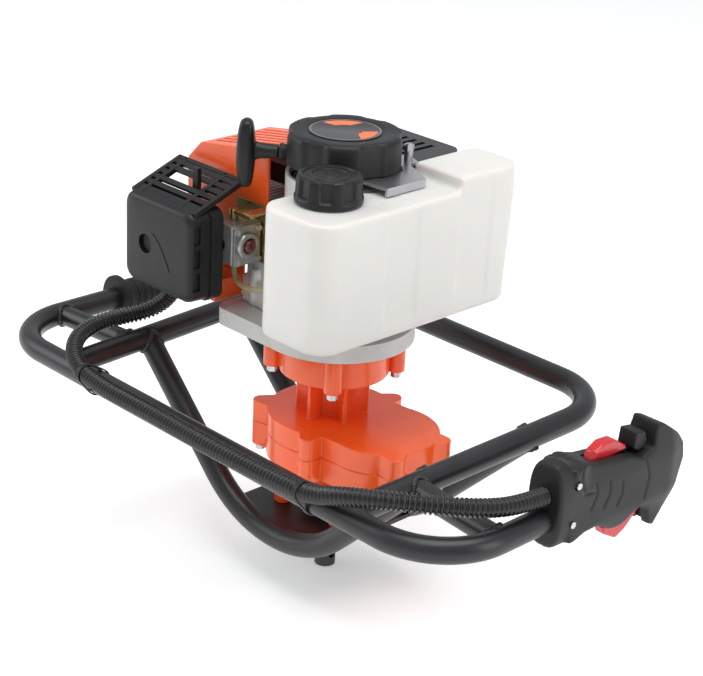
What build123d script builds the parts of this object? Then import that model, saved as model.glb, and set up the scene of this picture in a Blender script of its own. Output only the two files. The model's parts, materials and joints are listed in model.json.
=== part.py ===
from build123d import *
import math
import os

os.makedirs("parts", exist_ok=True)

# Ice fishing auger power head, in millimetres. The origin is the centre of the output shaft's lower
# end, +Z runs up that shaft, +X runs along the front handle bar and +Y from that bar to the rear one.

# ---------------------------------------------------------------- clearances
fit = 0.02          # parts of one assembly that are pressed or bolted together
run = 0.05          # radial gap of a shaft that turns in its bearing
gap = 0.4           # gap between parts that move past each other
BOTTOM = (Align.CENTER, Align.CENTER, Align.MIN)


# ---------------------------------------------------------------- small shape helpers
def rod(r, z0, z1, x=0.0, y=0.0):
    return Pos(x, y, z0) * Cylinder(r, z1 - z0, align=BOTTOM)


def ring(r_out, r_in, z0, z1, x=0.0, y=0.0):
    return rod(r_out, z0, z1, x, y) - rod(r_in, z0 - 1, z1 + 1, x, y)


def rod_x(r, x0, x1, y, z):
    return Pos(x0, y, z) * Rot(0, 90, 0) * Cylinder(r, x1 - x0, align=BOTTOM)


def rod_y(r, y0, y1, x, z):
    return Pos(x, y1, z) * Rot(90, 0, 0) * Cylinder(r, y1 - y0, align=BOTTOM)


def block(x0, x1, y0, y1, z0, z1):
    size = (x1 - x0, y1 - y0, z1 - z0)
    return Pos(x0, y0, z0) * Box(*size, align=(Align.MIN, Align.MIN, Align.MIN))


def soft_block(x0, x1, y0, y1, z0, z1, radius):
    return extrude(Pos(0, 0, z0) * soft_rectangle(x0, x1, y0, y1, radius), z1 - z0)


def soft_rectangle(x0, x1, y0, y1, radius):
    return Pos((x0 + x1) / 2, (y0 + y1) / 2) * RectangleRounded(x1 - x0, y1 - y0, radius)


def outline(points, z0, z1):
    return extrude(Pos(0, 0, z0) * make_face(Polyline(*points, close=True)), z1 - z0)


def side_profile(points, x0, x1):
    """A closed outline given as (y, z) points, extruded along X."""
    face = make_face(Polyline(*[(x0, y, z) for y, z in points], close=True))
    return extrude(face, x1 - x0, dir=(1, 0, 0))


def pipe(path, r_out, r_in=0.0):
    section = Plane(origin=path @ 0, z_dir=path % 0) * Circle(r_out)
    tube = sweep(section, path=path)
    if r_in:
        tube -= sweep(Plane(origin=path @ 0, z_dir=path % 0) * Circle(r_in), path=path)
    return tube


def solids_of(*shapes):
    found = []
    for shape in shapes:
        found += shape.solids()
    return found


def save(node, *shapes):
    export_step(Compound(children=solids_of(*shapes)), f"parts/{node}.step")


def hex_bolt(r_shank, z_under_head, z_end, x, y, across=None, head=None):
    """A hexagon-head bolt along Z whose head lies on the far side of z_under_head from z_end."""
    across = across or 3.2 * r_shank
    head = head or 1.3 * r_shank
    low, high = sorted((z_under_head, z_end))
    shank = rod(r_shank, low, high, x, y)
    z_head = z_under_head if z_end < z_under_head else z_under_head - head
    hexagon = extrude(Pos(x, y, z_head) * RegularPolygon(across / 2, 6, major_radius=False), head)
    return shank + hexagon


# ================================================================ tube frame
tube_r = 11.0
tube_wall = 2.0
bar_y = -164.0              # front handle bar
bar_z = 186.0
arm_x = 292.0               # the two handle arms, parallel to Y
arm_bend = 66.0
left_arm_end = 92.0
right_arm_end = 40.0
rear_y = 165.0              # rear bail
rear_z = 195.0
bail_x_front = 186.0
bail_x_rear = 196.0
bail_bend = 60.0
weld_gap = 0.1              # a welded tube end stops this far from the tube it meets

arms = FilletPolyline(
    (-arm_x, left_arm_end, bar_z), (-arm_x, bar_y, bar_z), (arm_x, bar_y, bar_z),
    (arm_x, right_arm_end, bar_z), radius=arm_bend)
front_handle_tube = pipe(arms, tube_r, tube_r - tube_wall)
front_handle_envelope = pipe(arms, tube_r + weld_gap)
save("front_handle_tube", front_handle_tube)

bail = FilletPolyline(
    (-bail_x_front, bar_y, bar_z), (-bail_x_rear, rear_y, rear_z), (bail_x_rear, rear_y, rear_z),
    (bail_x_front, bar_y, bar_z), radius=bail_bend)
rear_bail_tube = pipe(bail, tube_r, tube_r - tube_wall) - front_handle_envelope
bail_envelope = pipe(bail, tube_r + weld_gap)
save("rear_bail_tube", max(rear_bail_tube.solids(), key=lambda s: s.volume))


def bail_side(y):
    """Distance from the middle plane and height of the bail's side tube at a given y."""
    share = (y - bar_y) / (rear_y - bar_y)
    return (bail_x_front + share * (bail_x_rear - bail_x_front), bar_z + share * (rear_z - bar_z))


# Two cradle tubes hang from the bail like shallow bowls and carry the gearbox plate.
cradle_front_y = -68.0
cradle_rear_y = 54.0
cradle_z = 53.0             # axis at the lowest point
cradle_leg_angle = 44.0
cradle_bend = 116.0


def cradle_path(y):
    x_top, z_top = bail_side(y)
    x_low = x_top - (z_top - cradle_z) / math.tan(math.radians(cradle_leg_angle))
    return FilletPolyline((-x_top, y, z_top), (-x_low, y, cradle_z), (x_low, y, cradle_z),
                          (x_top, y, z_top), radius=cradle_bend)


def longest(shape):
    return max(shape.solids(), key=lambda s: s.volume)


cradles = [cradle_path(y) for y in (cradle_front_y, cradle_rear_y)]
save("cradle_tubes", *[longest(pipe(p, tube_r, tube_r - tube_wall) - bail_envelope) for p in cradles])
cradle_envelopes = [pipe(p, tube_r + weld_gap) for p in cradles]

# A short brace ties each arm to the side of the bail.
brace_y_arm = -96.0
brace_y_bail = -88.0
braces = []
for side in (-1, 1):
    x_bail, z_bail = bail_side(brace_y_bail)
    line = Line((side * arm_x, brace_y_arm, bar_z), (side * x_bail, brace_y_bail, z_bail))
    brace = pipe(line, tube_r - 1.0, tube_r - 1.0 - tube_wall)
    braces.append(longest(brace - front_handle_envelope - bail_envelope))
save("handle_braces", *braces)

plate_half = 64.0
plate_t = 4.0
plate_top = 64.0
plate_bore = 15.0           # the output shaft passes through it
foot_x = 34.0               # half spacing of the four gearbox feet
foot_y = 26.0
foot_r = 8.0
foot_bolt_r = 3.0
gearbox_turn = 6.0          # the gear train's centre line is turned this far from +X


def turned(shape):
    return Rot(0, 0, gearbox_turn) * shape


feet = [(sx * foot_x, sy * foot_y) for sx in (-1, 1) for sy in (-1, 1)]
plate = block(-plate_half, plate_half, cradle_front_y, cradle_rear_y, plate_top - plate_t, plate_top)
plate -= rod(plate_bore, 0, 2 * plate_top)
for x, y in feet:
    plate -= turned(rod(foot_bolt_r + 0.3, 0, 2 * plate_top, x, y))
for envelope in cradle_envelopes:
    plate -= envelope
save("gearbox_plate", longest(plate))

# ================================================================ left grip
grip_r = 16.0
grip_flange_r = 23.0
grip_front = -28.0
grip_rear = 100.0
grip = rod_y(grip_r, grip_front, grip_rear, -arm_x, bar_z)
grip += rod_y(grip_flange_r, grip_front, grip_front + 6.0, -arm_x, bar_z)
grip -= rod_y(tube_r + fit, grip_front - 1, left_arm_end + fit, -arm_x, bar_z)
save("left_grip", grip)

# ================================================================ gearbox
gear_distance = 60.0        # output axis to idler axis
case_r_out = 60.0           # case round the output gear
case_r_idler = 53.0         # case round the idler gear
case_wall = 4.0
case_bottom = 118.0
case_split = 142.0
case_top = 163.0
boss_r = 8.0
case_bolt_r = 2.5
case_bosses = [(-60.0, 31.0), (-60.0, -31.0), (24.0, 61.0), (24.0, -61.0), (112.0, 22.0), (105.0, -37.0)]
neck_r = 16.0               # column between the case and the clutch bell
bell_floor = 205.0
bell_floor_t = 5.0
bell_top = 240.0
bell_r = 51.0
bell_wall = 6.0
ear_reach = 57.0
ear_r = 8.0
shaft_r = 10.0              # output shaft
shaft_top = 138.0
output_bearing = (21.0, 12.0)      # outer radius, width
small_bearing = (12.0, 6.0)
small_shaft_r = 6.0
output_boss_r = 27.0
output_boss_bottom = 80.0
output_bearing_z = (88.0, 106.0)
seal_z = (80.5, 87.5)
idler_bearing_z = (116.0, 153.0)
input_bearing_z = (159.0, 199.0)


def case_outline(offset):
    shape = Circle(case_r_out - offset) + Pos(gear_distance, 0) * Circle(case_r_idler - offset)
    shape += Pos(gear_distance / 2, 0) * Rectangle(gear_distance, 2 * (case_r_idler - offset) - 2)
    return shape


def case_half(z0, z1):
    body = extrude(Pos(0, 0, z0) * case_outline(0), z1 - z0)
    for x, y in case_bosses:
        body += rod(boss_r, z0, z1, x, y)
        hub = gear_distance if x > 40 else 0
        root = Pos(hub + 0.6 * (x - hub), 0.6 * y) * Circle(18)
        web = make_hull([*(Pos(x, y) * Circle(boss_r)).edges(), *root.edges()])
        body += extrude(Pos(0, 0, z0) * web, z1 - z0)
    return body


inside = case_outline(case_wall)
lower = case_half(case_bottom, case_split - fit)
lower += rod(output_boss_r, output_boss_bottom, case_bottom)
lower += rod(small_bearing[0] + 4, case_bottom - 6, case_bottom, gear_distance)
for x, y in feet:
    lower += rod(foot_r, plate_top + fit, case_bottom, x, y)
lower -= extrude(Pos(0, 0, case_bottom + case_wall) * inside, case_split)
lower -= rod(shaft_r + 1.5, output_boss_bottom - 1, case_split)
for z in output_bearing_z:
    lower -= rod(output_bearing[0] + fit, z, z + output_bearing[1])
lower -= rod(output_bearing[0] + fit, output_bearing_z[1], case_split)
lower -= rod(output_bearing[0] + fit, seal_z[0], output_bearing_z[0])
lower -= rod(output_bearing[0] - 2, seal_z[0] - 1, seal_z[1])
lower -= rod(small_bearing[0] + fit, idler_bearing_z[0], case_split, gear_distance)
for x, y in case_bosses:
    lower -= rod(case_bolt_r + 0.3, case_bottom - 1, case_split + 1, x, y)
for x, y in feet:
    lower -= rod(foot_bolt_r + fit, plate_top - 1, plate_top + 30, x, y)
save("gearbox_lower_case", turned(lower))

upper = case_half(case_split, case_top)
upper += rod(neck_r, case_top, bell_floor)
for k in range(6):
    rib = block(0, 34, -1.8, 1.8, case_top, bell_floor)
    upper += Rot(0, 0, 30 + 60 * k) * rib
upper += rod(bell_r, bell_floor, bell_top)
ears = [(ear_reach * math.cos(math.radians(a)), ear_reach * math.sin(math.radians(a)))
        for a in (39, 129, 219, 309)]
for x, y in ears:
    upper += rod(ear_r, bell_floor, bell_top, x, y)
upper -= extrude(Pos(0, 0, case_split - 1) * inside, case_top - case_wall - case_split + 1)
upper += ring(small_bearing[0] + 3, small_bearing[0] + fit, idler_bearing_z[1], case_top - case_wall + 0.5,
              gear_distance)
upper -= rod(bell_r - bell_wall, bell_floor + bell_floor_t, bell_top + 1)
upper -= rod(small_shaft_r + 3, case_top - case_wall - 1, bell_top)
upper -= rod(small_bearing[0] + fit, input_bearing_z[0] - 1, input_bearing_z[0] + small_bearing[1])
upper -= rod(small_bearing[0] + fit, input_bearing_z[1], bell_top)
for x, y in case_bosses:
    upper -= rod(case_bolt_r + fit, case_split - 1, case_top - 2.5, x, y)
for x, y in ears:
    upper -= rod(case_bolt_r + 0.3, bell_floor - 1, bell_top + 1, x, y)
save("gearbox_upper_case", turned(upper))

bolts = [hex_bolt(case_bolt_r, case_bottom - fit, case_top - 6, x, y, head=6) for x, y in case_bosses]
bolts += [hex_bolt(case_bolt_r, bell_floor - fit, bell_top + 8, x, y, across=9, head=6) for x, y in ears]
bolts += [hex_bolt(foot_bolt_r, plate_top - plate_t - fit, plate_top + 22, x, y) for x, y in feet]
save("gearbox_bolts", *[turned(b) for b in bolts])

bearings = [ring(output_bearing[0], shaft_r + run, z + fit, z + output_bearing[1] - fit) for z in output_bearing_z]
bearings += [ring(small_bearing[0], small_shaft_r + run, z + fit, z + small_bearing[1] - fit, gear_distance)
             for z in idler_bearing_z]
bearings += [ring(small_bearing[0], small_shaft_r + run, z + fit, z + small_bearing[1] - fit)
             for z in input_bearing_z]
save("gearbox_bearings", *[turned(b) for b in bearings])
save("output_seal", ring(output_bearing[0], shaft_r + run, seal_z[0] + fit, seal_z[1] - fit))


# ---------------------------------------------------------------- gears
def gear(module, teeth, z0, z1, bore, phase=0.0, tooth_share=0.42):
    """A spur gear about Z; phase is the angle of a tooth's centre line in degrees."""
    pitch_r = module * teeth / 2
    rows = []
    for k in range(teeth):
        middle = math.radians(phase + 360 * k / teeth)
        for depth, side in ((-1.15, -1), (0.9, -1), (0.9, 1), (-1.15, 1)):
            half = (math.pi * tooth_share / 2 - depth * math.tan(math.radians(20))) * module
            radius = pitch_r + depth * module
            angle = middle + side * min(half, 0.48 * math.pi * module) / radius
            rows.append((radius * math.cos(angle), radius * math.sin(angle)))
    return outline(rows, z0, z1) - rod(bore, z0 - 1, z1 + 1)


input_module, input_teeth, wheel_teeth = 1.0, 28, 92
output_module, pinion_teeth, output_teeth = 1.25, 12, 84
output_gear_z = (125.0, 137.0)
wheel_z = (141.0, 149.0)
idler_x = gear_distance

socket_length = 58.0        # length of shaft that the auger's socket can slide over
output_shaft = rod(shaft_r, 0, shaft_top) - ring(shaft_r + 1, shaft_r - 0.6, socket_length, socket_length + 1.6)
cross_bolt_r = 4.0
cross_bolt_z = 12.0
output_shaft -= rod_x(cross_bolt_r, -2 * shaft_r, 2 * shaft_r, 0, cross_bolt_z)
save("output_shaft", output_shaft)
save("output_gear", turned(gear(output_module, output_teeth, *output_gear_z, shaft_r + fit)))

idler = rod(small_shaft_r, idler_bearing_z[0] + 0.5, idler_bearing_z[1] + small_bearing[1] - 0.5)
idler += gear(output_module, pinion_teeth, output_gear_z[0] - 1, wheel_z[0], small_shaft_r - 1,
              180 + 180 / pinion_teeth)
idler += gear(input_module, wheel_teeth, *wheel_z, small_shaft_r - 1, 180 + 180 / wheel_teeth)
save("idler_gears", turned(Pos(idler_x, 0, 0) * idler))

drum_r = 41.5
drum_wall = 2.5
drum_bottom = 212.0
drum_top = 233.0
pinion = rod(small_shaft_r, wheel_z[0] - 0.5, drum_bottom + drum_wall)
pinion += gear(input_module, input_teeth, *wheel_z, small_shaft_r - 1)
save("input_pinion", turned(pinion))
drum = rod(drum_r, drum_bottom, drum_top) - rod(drum_r - drum_wall, drum_bottom + drum_wall, drum_top + 1)
drum += rod(8.5, input_bearing_z[1] + small_bearing[1] + 0.5, drum_bottom)
drum -= rod(small_shaft_r + fit, 0, drum_bottom + drum_wall + 1)
save("clutch_drum", drum)

# ================================================================ engine: crank train
crank_z = 320.0             # height of the cylinder axis
throw = 17.0                # half the stroke
rod_length = 62.0
bore_r = 22.0
web_r = 26.0
web_gap = 7.2               # half the gap between the crank webs
web_t = 11.0
journal_r = 7.5
main_bearing = (17.5, 11.0)
crank_bottom = 216.0
flywheel_z = (362.0, 386.0)
crank_top = 392.0

crank_parts = []
for sign, z_end in ((-1, crank_bottom), (1, crank_top)):
    z_near = crank_z + sign * web_gap
    z_far = z_near + sign * web_t
    web = rod(web_r, min(z_near, z_far), max(z_near, z_far))
    crank_parts.append(web + rod(journal_r, min(z_far, z_end), max(z_far, z_end)))
save("crankshaft", *crank_parts)

shoe_r = (20.0, drum_r - drum_wall - 1.2)
shoe_z = (217.0, 231.0)
hub = ring(14, journal_r + fit, *shoe_z)
shoes = ring(shoe_r[1], shoe_r[0], *shoe_z) - block(-3, 3, -60, 60, 0, 300)
arm = block(-18, 18, -4, 4, shoe_z[0] + 3, shoe_z[1] - 3) - rod(14 - 0.5, 0, 300)
save("clutch_shoes", hub + arm, shoes)

web_side = crank_z + web_gap + web_t
lower_web_side = crank_z - web_gap - web_t
main_bearing_z = (lower_web_side - 2 - main_bearing[1], web_side + 2)
save("main_bearings", *[ring(main_bearing[0], journal_r + run, z + fit, z + main_bearing[1] - fit)
                        for z in main_bearing_z])

crown_x = -(throw + rod_length + 18)
piston_length = 34.0
piston = rod_x(bore_r - run, crown_x, crown_x + piston_length, 0, crank_z)
piston -= rod_x(bore_r - 3.5, crown_x + 5, crown_x + piston_length + 1, 0, crank_z)
wrist_x = -(throw + rod_length)
wrist_pin = rod(4.5, crank_z - bore_r + 1.5, crank_z + bore_r - 1.5, wrist_x, 0)
bosses = rod(7.5, crank_z - bore_r + 1, crank_z + bore_r - 1, wrist_x, 0)
bosses &= rod_x(bore_r - 1, crown_x, crown_x + piston_length, 0, crank_z)
bosses -= block(wrist_x - 20, wrist_x + 20, -20, 20, crank_z - 6.5, crank_z + 6.5)
piston = piston + bosses - rod(4.5 + fit, crank_z - 30, crank_z + 30, wrist_x, 0)
save("piston", piston, wrist_pin)

half_rod = 5.5
con_rod = rod(9.5, crank_z - half_rod, crank_z + half_rod, -throw, 0)
con_rod += rod(7.5, crank_z - half_rod, crank_z + half_rod, wrist_x, 0)
con_rod += block(wrist_x, -throw, -4, 4, crank_z - 3.5, crank_z + 3.5)
con_rod -= rod(4.5 + fit, crank_z - 30, crank_z + 30, wrist_x, 0)
save("connecting_rod", con_rod)

# ================================================================ engine: castings
base_r = 72.0
base_z = (bell_top + fit, 256.0)
chamber_r = 28.5
case_r = 38.0
deck_x = -48.0
fan_r = 51.0
fan_wall = 3.0
fan_z = (352.0, 392.0)
lower_case_split = crank_z
base = Circle(base_r) + Pos(-44, -20) * RectangleRounded(88, 104, 14)
lower_crankcase = extrude(Pos(0, 0, base_z[0]) * base, base_z[1] - base_z[0])
lower_crankcase += loft([Pos(0, 0, base_z[1]) * Circle(62), Pos(0, 0, 284) * Circle(case_r)])
lower_crankcase += rod(case_r, 282, lower_case_split)
lower_crankcase += block(deck_x, 0, -30, 30, 290, lower_case_split)
for x, y in ears:
    lower_crankcase += turned(rod(ear_r + 1, base_z[0], base_z[1], x, y))
lower_crankcase -= rod(bell_r - bell_wall, base_z[0] - 1, 262)
lower_crankcase -= loft([Pos(0, 0, 262 - 0.01) * Circle(bell_r - bell_wall), Pos(0, 0, 276) * Circle(20)])
lower_crankcase -= rod(journal_r + 2, 0, lower_case_split)
lower_crankcase -= rod(main_bearing[0] + fit, main_bearing_z[0], lower_case_split)
lower_crankcase -= rod(chamber_r, lower_web_side - 1.5, lower_case_split + 1)
lower_crankcase -= rod_x(bore_r + 2.6, deck_x - 1, 0, 0, crank_z)
for x, y in ears:
    lower_crankcase -= turned(rod(case_bolt_r + fit, 0, bell_top + 9, x, y))
save("lower_crankcase", longest(lower_crankcase))

upper_crankcase = rod(case_r, lower_case_split + fit, fan_z[0] + 4)
upper_crankcase += block(deck_x, 0, -30, 30, lower_case_split + fit, fan_z[0])
upper_crankcase += rod(fan_r, fan_z[0], fan_z[1])
upper_crankcase -= rod(fan_r - fan_wall, fan_z[0] + 4, fan_z[1] + 1)
upper_crankcase -= rod(journal_r + 2, 0, 400)
upper_crankcase -= rod(main_bearing[0] + fit, 0, main_bearing_z[1] + main_bearing[1])
upper_crankcase -= rod(chamber_r, lower_case_split - 1, web_side + 1.5)
upper_crankcase -= rod_x(bore_r + 2.6, deck_x - 1, 0, 0, crank_z)
upper_crankcase -= block(-fan_r - 5, -20, -28, 28, fan_z[0] + 6, fan_z[1] - 6)
save("upper_crankcase", longest(upper_crankcase))

cylinder_end = -118.0
fin_half = 35.0
cylinder = rod_x(bore_r + 5, cylinder_end, deck_x, 0, crank_z)
for k in range(10):
    x = cylinder_end + 1 + 6.2 * k
    fin = Pos(x, 0, crank_z) * Rot(0, 90, 0) * extrude(RectangleRounded(2 * fin_half, 2 * fin_half, 8), 2)
    cylinder += fin
port_x = -76.0
port_face = 37.0
cylinder += block(port_x - 17, port_x + 17, -port_face, -20, crank_z - 13, crank_z + 13)
cylinder += block(port_x - 17, port_x + 17, 20, port_face, crank_z - 15, crank_z + 15)
cylinder += block(deck_x - 5, deck_x, -29, 29, crank_z - 29, crank_z + 29)
for side in (-1, 1):
    low, high = sorted((side * port_face, side * (port_face + 20)))
    cylinder -= block(port_x - 20, port_x + 20, low, high, crank_z - 20, crank_z + 20)
cylinder -= rod_x(bore_r, crown_x - 6, deck_x + 1, 0, crank_z)
cylinder -= rod_y(8, -port_face - 1, 0, port_x, crank_z)
cylinder -= rod_y(9, 0, port_face + 1, port_x, crank_z)
cylinder -= rod_x(6 + fit, cylinder_end - 1, crown_x, 0, crank_z)
save("cylinder", longest(cylinder))

plug = rod_x(6, cylinder_end - 4, crown_x - 7, 0, crank_z)
plug += rod_x(9.5, cylinder_end - 8, cylinder_end - fit, 0, crank_z)
plug += rod_x(5, cylinder_end - 34, cylinder_end - 8, 0, crank_z)
save("spark_plug", plug)
boot = rod_x(8, cylinder_end - 37, cylinder_end - 12, 0, crank_z)
boot += rod(6, crank_z, crank_z + 26, cylinder_end - 31)
boot -= rod_x(5 + fit, cylinder_end - 34 - fit, 0, 0, crank_z)
save("spark_plug_boot", boot)

flywheel = rod(43, flywheel_z[0], flywheel_z[0] + 8) + ring(30, 22, flywheel_z[0], flywheel_z[0] + 16)
for k in range(12):
    blade = block(28, 45, -1.2, 1.2, flywheel_z[0] + 4, flywheel_z[1])
    flywheel += Rot(0, 0, 30 * k) * blade
flywheel -= rod(journal_r + fit, 0, 500)
save("flywheel", flywheel)

coil = block(-82, -54, -12, 12, 366, 384) + block(-54, -47, -5, 5, 368, 380)
save("ignition_coil", coil)

# ================================================================ intake side
carb_y = (-76.0, -43.0)
carb_x = (-92.0, -60.0)
carb_z = (303.0, 340.0)
bracket_y = (carb_y[1] + fit, carb_y[1] + 2.0)
insulator = block(port_x - 17, port_x + 17, bracket_y[1] + fit, -port_face - fit, crank_z - 19, crank_z + 19)
insulator -= rod_y(8, -60, 0, port_x, crank_z)
save("intake_insulator", insulator)
carb = block(carb_x[0], carb_x[1], carb_y[0], carb_y[1], *carb_z)
carb += block(carb_x[1], carb_x[1] + 3, carb_y[0] + 1, carb_y[1] - 1, carb_z[0] - 1, carb_z[1] - 1)
primer_y = sum(carb_y) / 2
carb += rod_x(11, carb_x[1] + 3, carb_x[1] + 6, primer_y, crank_z)
carb -= rod_y(7, -100, 0, port_x, crank_z)
carb -= rod_x(7, carb_x[1] - 3, carb_x[1] + 10, primer_y, crank_z)
save("carburettor", carb)
save("primer_bulb", rod_x(7 - gap, carb_x[1] + 2, carb_x[1] + 9, primer_y, crank_z))
lever_z = carb_z[1] + 1.0
lever = rod(4, carb_z[1] + gap, lever_z + 9, port_x, primer_y)
lever += block(port_x - 3, port_x + 24, primer_y - 3, primer_y + 3, lever_z + 5, lever_z + 8)
save("throttle_lever", lever)
bracket = block(port_x - 17, port_x + 34, *bracket_y, carb_z[0], carb_z[1] + 14)
bracket += block(port_x + 22, port_x + 34, carb_y[0] + 6, bracket_y[1], carb_z[1] + 12, carb_z[1] + 14)
bracket -= rod_y(8, -60, 0, port_x, crank_z)
save("throttle_bracket", bracket)

air_x = (-170.0, -71.0)
air_y = (-112.0, carb_y[0] - fit)
air_z = (267.0, 354.0)
air_wall = 2.5
base_t = 6.0
air_split = air_y[1] - 12.0
air_base = Pos(0, air_y[1], 0) * Rot(90, 0, 0) * extrude(soft_rectangle(air_x[0], air_x[1], *air_z, 10), air_y[1] - air_split)
air_base -= block(air_x[0] + 4, air_x[1] - 4, air_split - 1, air_y[1] - base_t, air_z[0] + 4, air_z[1] - 4)
air_base -= rod_y(8, air_split - 1, 0, port_x - 4, crank_z)
save("air_filter_base", air_base)
air_cover = Pos(0, air_split - fit, 0) * Rot(90, 0, 0) * extrude(
    soft_rectangle(air_x[0], air_x[1], *air_z, 12), air_split - air_y[0] - fit)
air_cover -= block(air_x[0] + 3, air_x[1] - 3, air_y[0] + 3, air_split + 1, air_z[0] + 3, air_z[1] - 3)
save("air_filter_element", block(air_x[0] + 6, air_x[1] - 6, air_y[0] + 5, air_split + 2, air_z[0] + 6, air_z[1] - 6))
grille_y = (air_y[0] + 12.0, -50.0)
grille_top = 373.0
grille_t = 3.5
grille = side_profile([(grille_y[0], air_z[1] - 1), (grille_y[1], grille_top), (grille_y[1], grille_top - grille_t),
                       (grille_y[0] + 4, air_z[1] - 1)], air_x[0] + 6, air_x[1] - 4)
for k in range(7):
    x = air_x[0] + 14 + 11.5 * k
    grille -= block(x, x + 6, grille_y[0] + 10, grille_y[1] - 6, air_z[1], grille_top + 10)
choke_x = -112.0
choke_z = 334.0
grille -= block(choke_x - 40, choke_x + 12, air_y[1], air_y[1] + 7, air_z[1], grille_top + 10)
air_cover += grille
save("air_filter_cover", longest(air_cover))
choke = rod_y(6, air_y[1] + gap, air_y[1] + 5.5, choke_x, choke_z)
choke += block(choke_x - 3.5, choke_x + 3.5, air_y[1] + gap, air_y[1] + 5, choke_z, choke_z + 47)
save("choke_lever", choke)

# ================================================================ shroud and exhaust
shroud_x = (-165.0, -54.0)
shroud_y = (-40.0, 44.0)
shroud_z = (262.0, 390.0, 406.0)       # bottom, top at the outer end, top beside the fan
shroud_wall = 2.4


def shroud_block(inset):
    x0, x1 = shroud_x[0] + inset, shroud_x[1] + (10 if inset else 0)
    rows = [(x0, shroud_z[0] - (10 if inset else 0)), (x0, shroud_z[1] - 18 - inset), (x0 + 18, shroud_z[1] - inset),
            (x1, shroud_z[2] - inset), (x1, shroud_z[0] - (10 if inset else 0))]
    face = make_face(Polyline(*[(x, shroud_y[0] + inset, z) for x, z in rows], close=True))
    return extrude(face, shroud_y[1] - shroud_y[0] - 2 * inset, dir=(0, 1, 0))


shroud = shroud_block(0) - shroud_block(shroud_wall)
shroud -= block(port_x - 19, port_x + 19, shroud_y[0] - 1, shroud_y[0] + 6, crank_z - 21, crank_z + 21)
shroud -= block(port_x - 22, port_x + 30, shroud_y[1] - 6, shroud_y[1] + 1, shroud_z[0] - 1, crank_z + 30)
for k in range(7):
    y = shroud_y[0] + 12 + 9.5 * k
    shroud -= block(shroud_x[0] + 24, shroud_x[1] - 8, y, y + 4, shroud_z[1] - 8, shroud_z[2] + 5)
shroud -= block(-84, shroud_x[1] + 1, shroud_y[0] - 1, shroud_y[0] + 4, shroud_z[0] - 1, 300)
lobe = block(-118, -88, -70, shroud_y[0] + shroud_wall, base_z[1] + 2, base_z[1] + 22)
lobe -= block(-115.5, -90.5, -67.5, shroud_y[0], base_z[1] + 1, base_z[1] + 19.6)
shroud += lobe
save("engine_shroud", longest(shroud))

muffler_x = (-95.0, 24.0)
muffler_y = (58.0, 118.0)
muffler_z = (300.0, 380.0)
cover_wall = 2.5
muffler = soft_block(*muffler_x, *muffler_y, *muffler_z, 14)
muffler -= soft_block(muffler_x[0] + 2, muffler_x[1] - 2, muffler_y[0] + 2, muffler_y[1] - 2, muffler_z[0] + 2,
                      muffler_z[1] - 2, 12)
muffler += block(port_x - 15, port_x + 15, port_face + fit, muffler_y[0] + 1, crank_z - 13, crank_z + 13)
muffler -= rod_y(9, port_face - 1, muffler_y[0] + 4, port_x, crank_z)
muffler -= rod(6, muffler_z[0] - 1, muffler_z[0] + 4, muffler_x[0] + 20, 90)
save("muffler", muffler)
guard_top = 398.0
guard = soft_block(muffler_x[0] - 4, muffler_x[1] + 6, muffler_y[0] - 3, muffler_y[1] + 6, 336, guard_top, 16)
guard -= soft_block(muffler_x[0] - 1.5, muffler_x[1] + 3.5, muffler_y[0] - 0.5, muffler_y[1] + 3.5, 335, guard_top - 2.5, 14)
for k in range(9):
    x = muffler_x[0] + 8 + 11 * k
    guard -= block(x, x + 5, muffler_y[0] + 10, muffler_y[1] - 8, guard_top - 5, guard_top + 1)
for x in (muffler_x[0] + 30, muffler_x[1] - 30):
    guard += rod(4, muffler_z[1] + fit, guard_top - 1, x, sum(muffler_y) / 2)
save("muffler_cover", longest(guard))

# ================================================================ fuel tank
tank_x = (18.0, 102.0)
tank_y = (-119.0, 126.0)
tank_z = (274.0, 393.0)
tank_wall = 3.0
tank_hump_top = 405.0
tank_hump_y = 46.0
tank_rear_x = 40.0
engine_clear_r = 57.0
cap_x, cap_y = 52.0, -67.0
cap_r = 29.5
neck_outer = 23.0
neck_inner = 19.5
neck_top = tank_z[1] + 12.0
tank_foot_chamfer = 6.0
neck_depth = 12.0           # the neck's inner sleeve reaches this far into the tank


def tank_plan(inset):
    plan = Pos((tank_x[0] + tank_x[1]) / 2, (tank_y[0] + tank_y[1]) / 2) * RectangleRounded(
        tank_x[1] - tank_x[0] - 2 * inset, tank_y[1] - tank_y[0] - 2 * inset, 22 - inset)
    plan -= Circle(engine_clear_r + inset)
    notch = Pos(tank_rear_x + inset - 50, 100) * Rectangle(100, 2 * 60 + 2 * inset)
    return plan - notch


def tank_body(inset):
    body = extrude(Pos(0, 0, tank_z[0] + inset) * tank_plan(inset), tank_z[1] - tank_z[0] - 2 * inset)
    hump = extrude(Pos(0, 0, tank_z[1] - 30) * tank_plan(inset), tank_hump_top - tank_z[1] + 30 - inset)
    return body + (hump & block(-10, 200, tank_hump_y + inset, 300, 0, 500))


tank = tank_body(0)
tank = chamfer(tank.faces().sort_by(Axis.Z)[0].edges(), tank_foot_chamfer)
tank += rod(neck_outer, tank_z[1] - 1, neck_top, cap_x, cap_y)
tank -= tank_body(tank_wall)
tank += ring(neck_outer, neck_inner, tank_z[1] - neck_depth, tank_z[1] + 1, cap_x, cap_y)
tank -= rod(neck_inner, tank_z[1] - neck_depth - 1, neck_top + 1, cap_x, cap_y)
save("fuel_tank", longest(tank))

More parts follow.
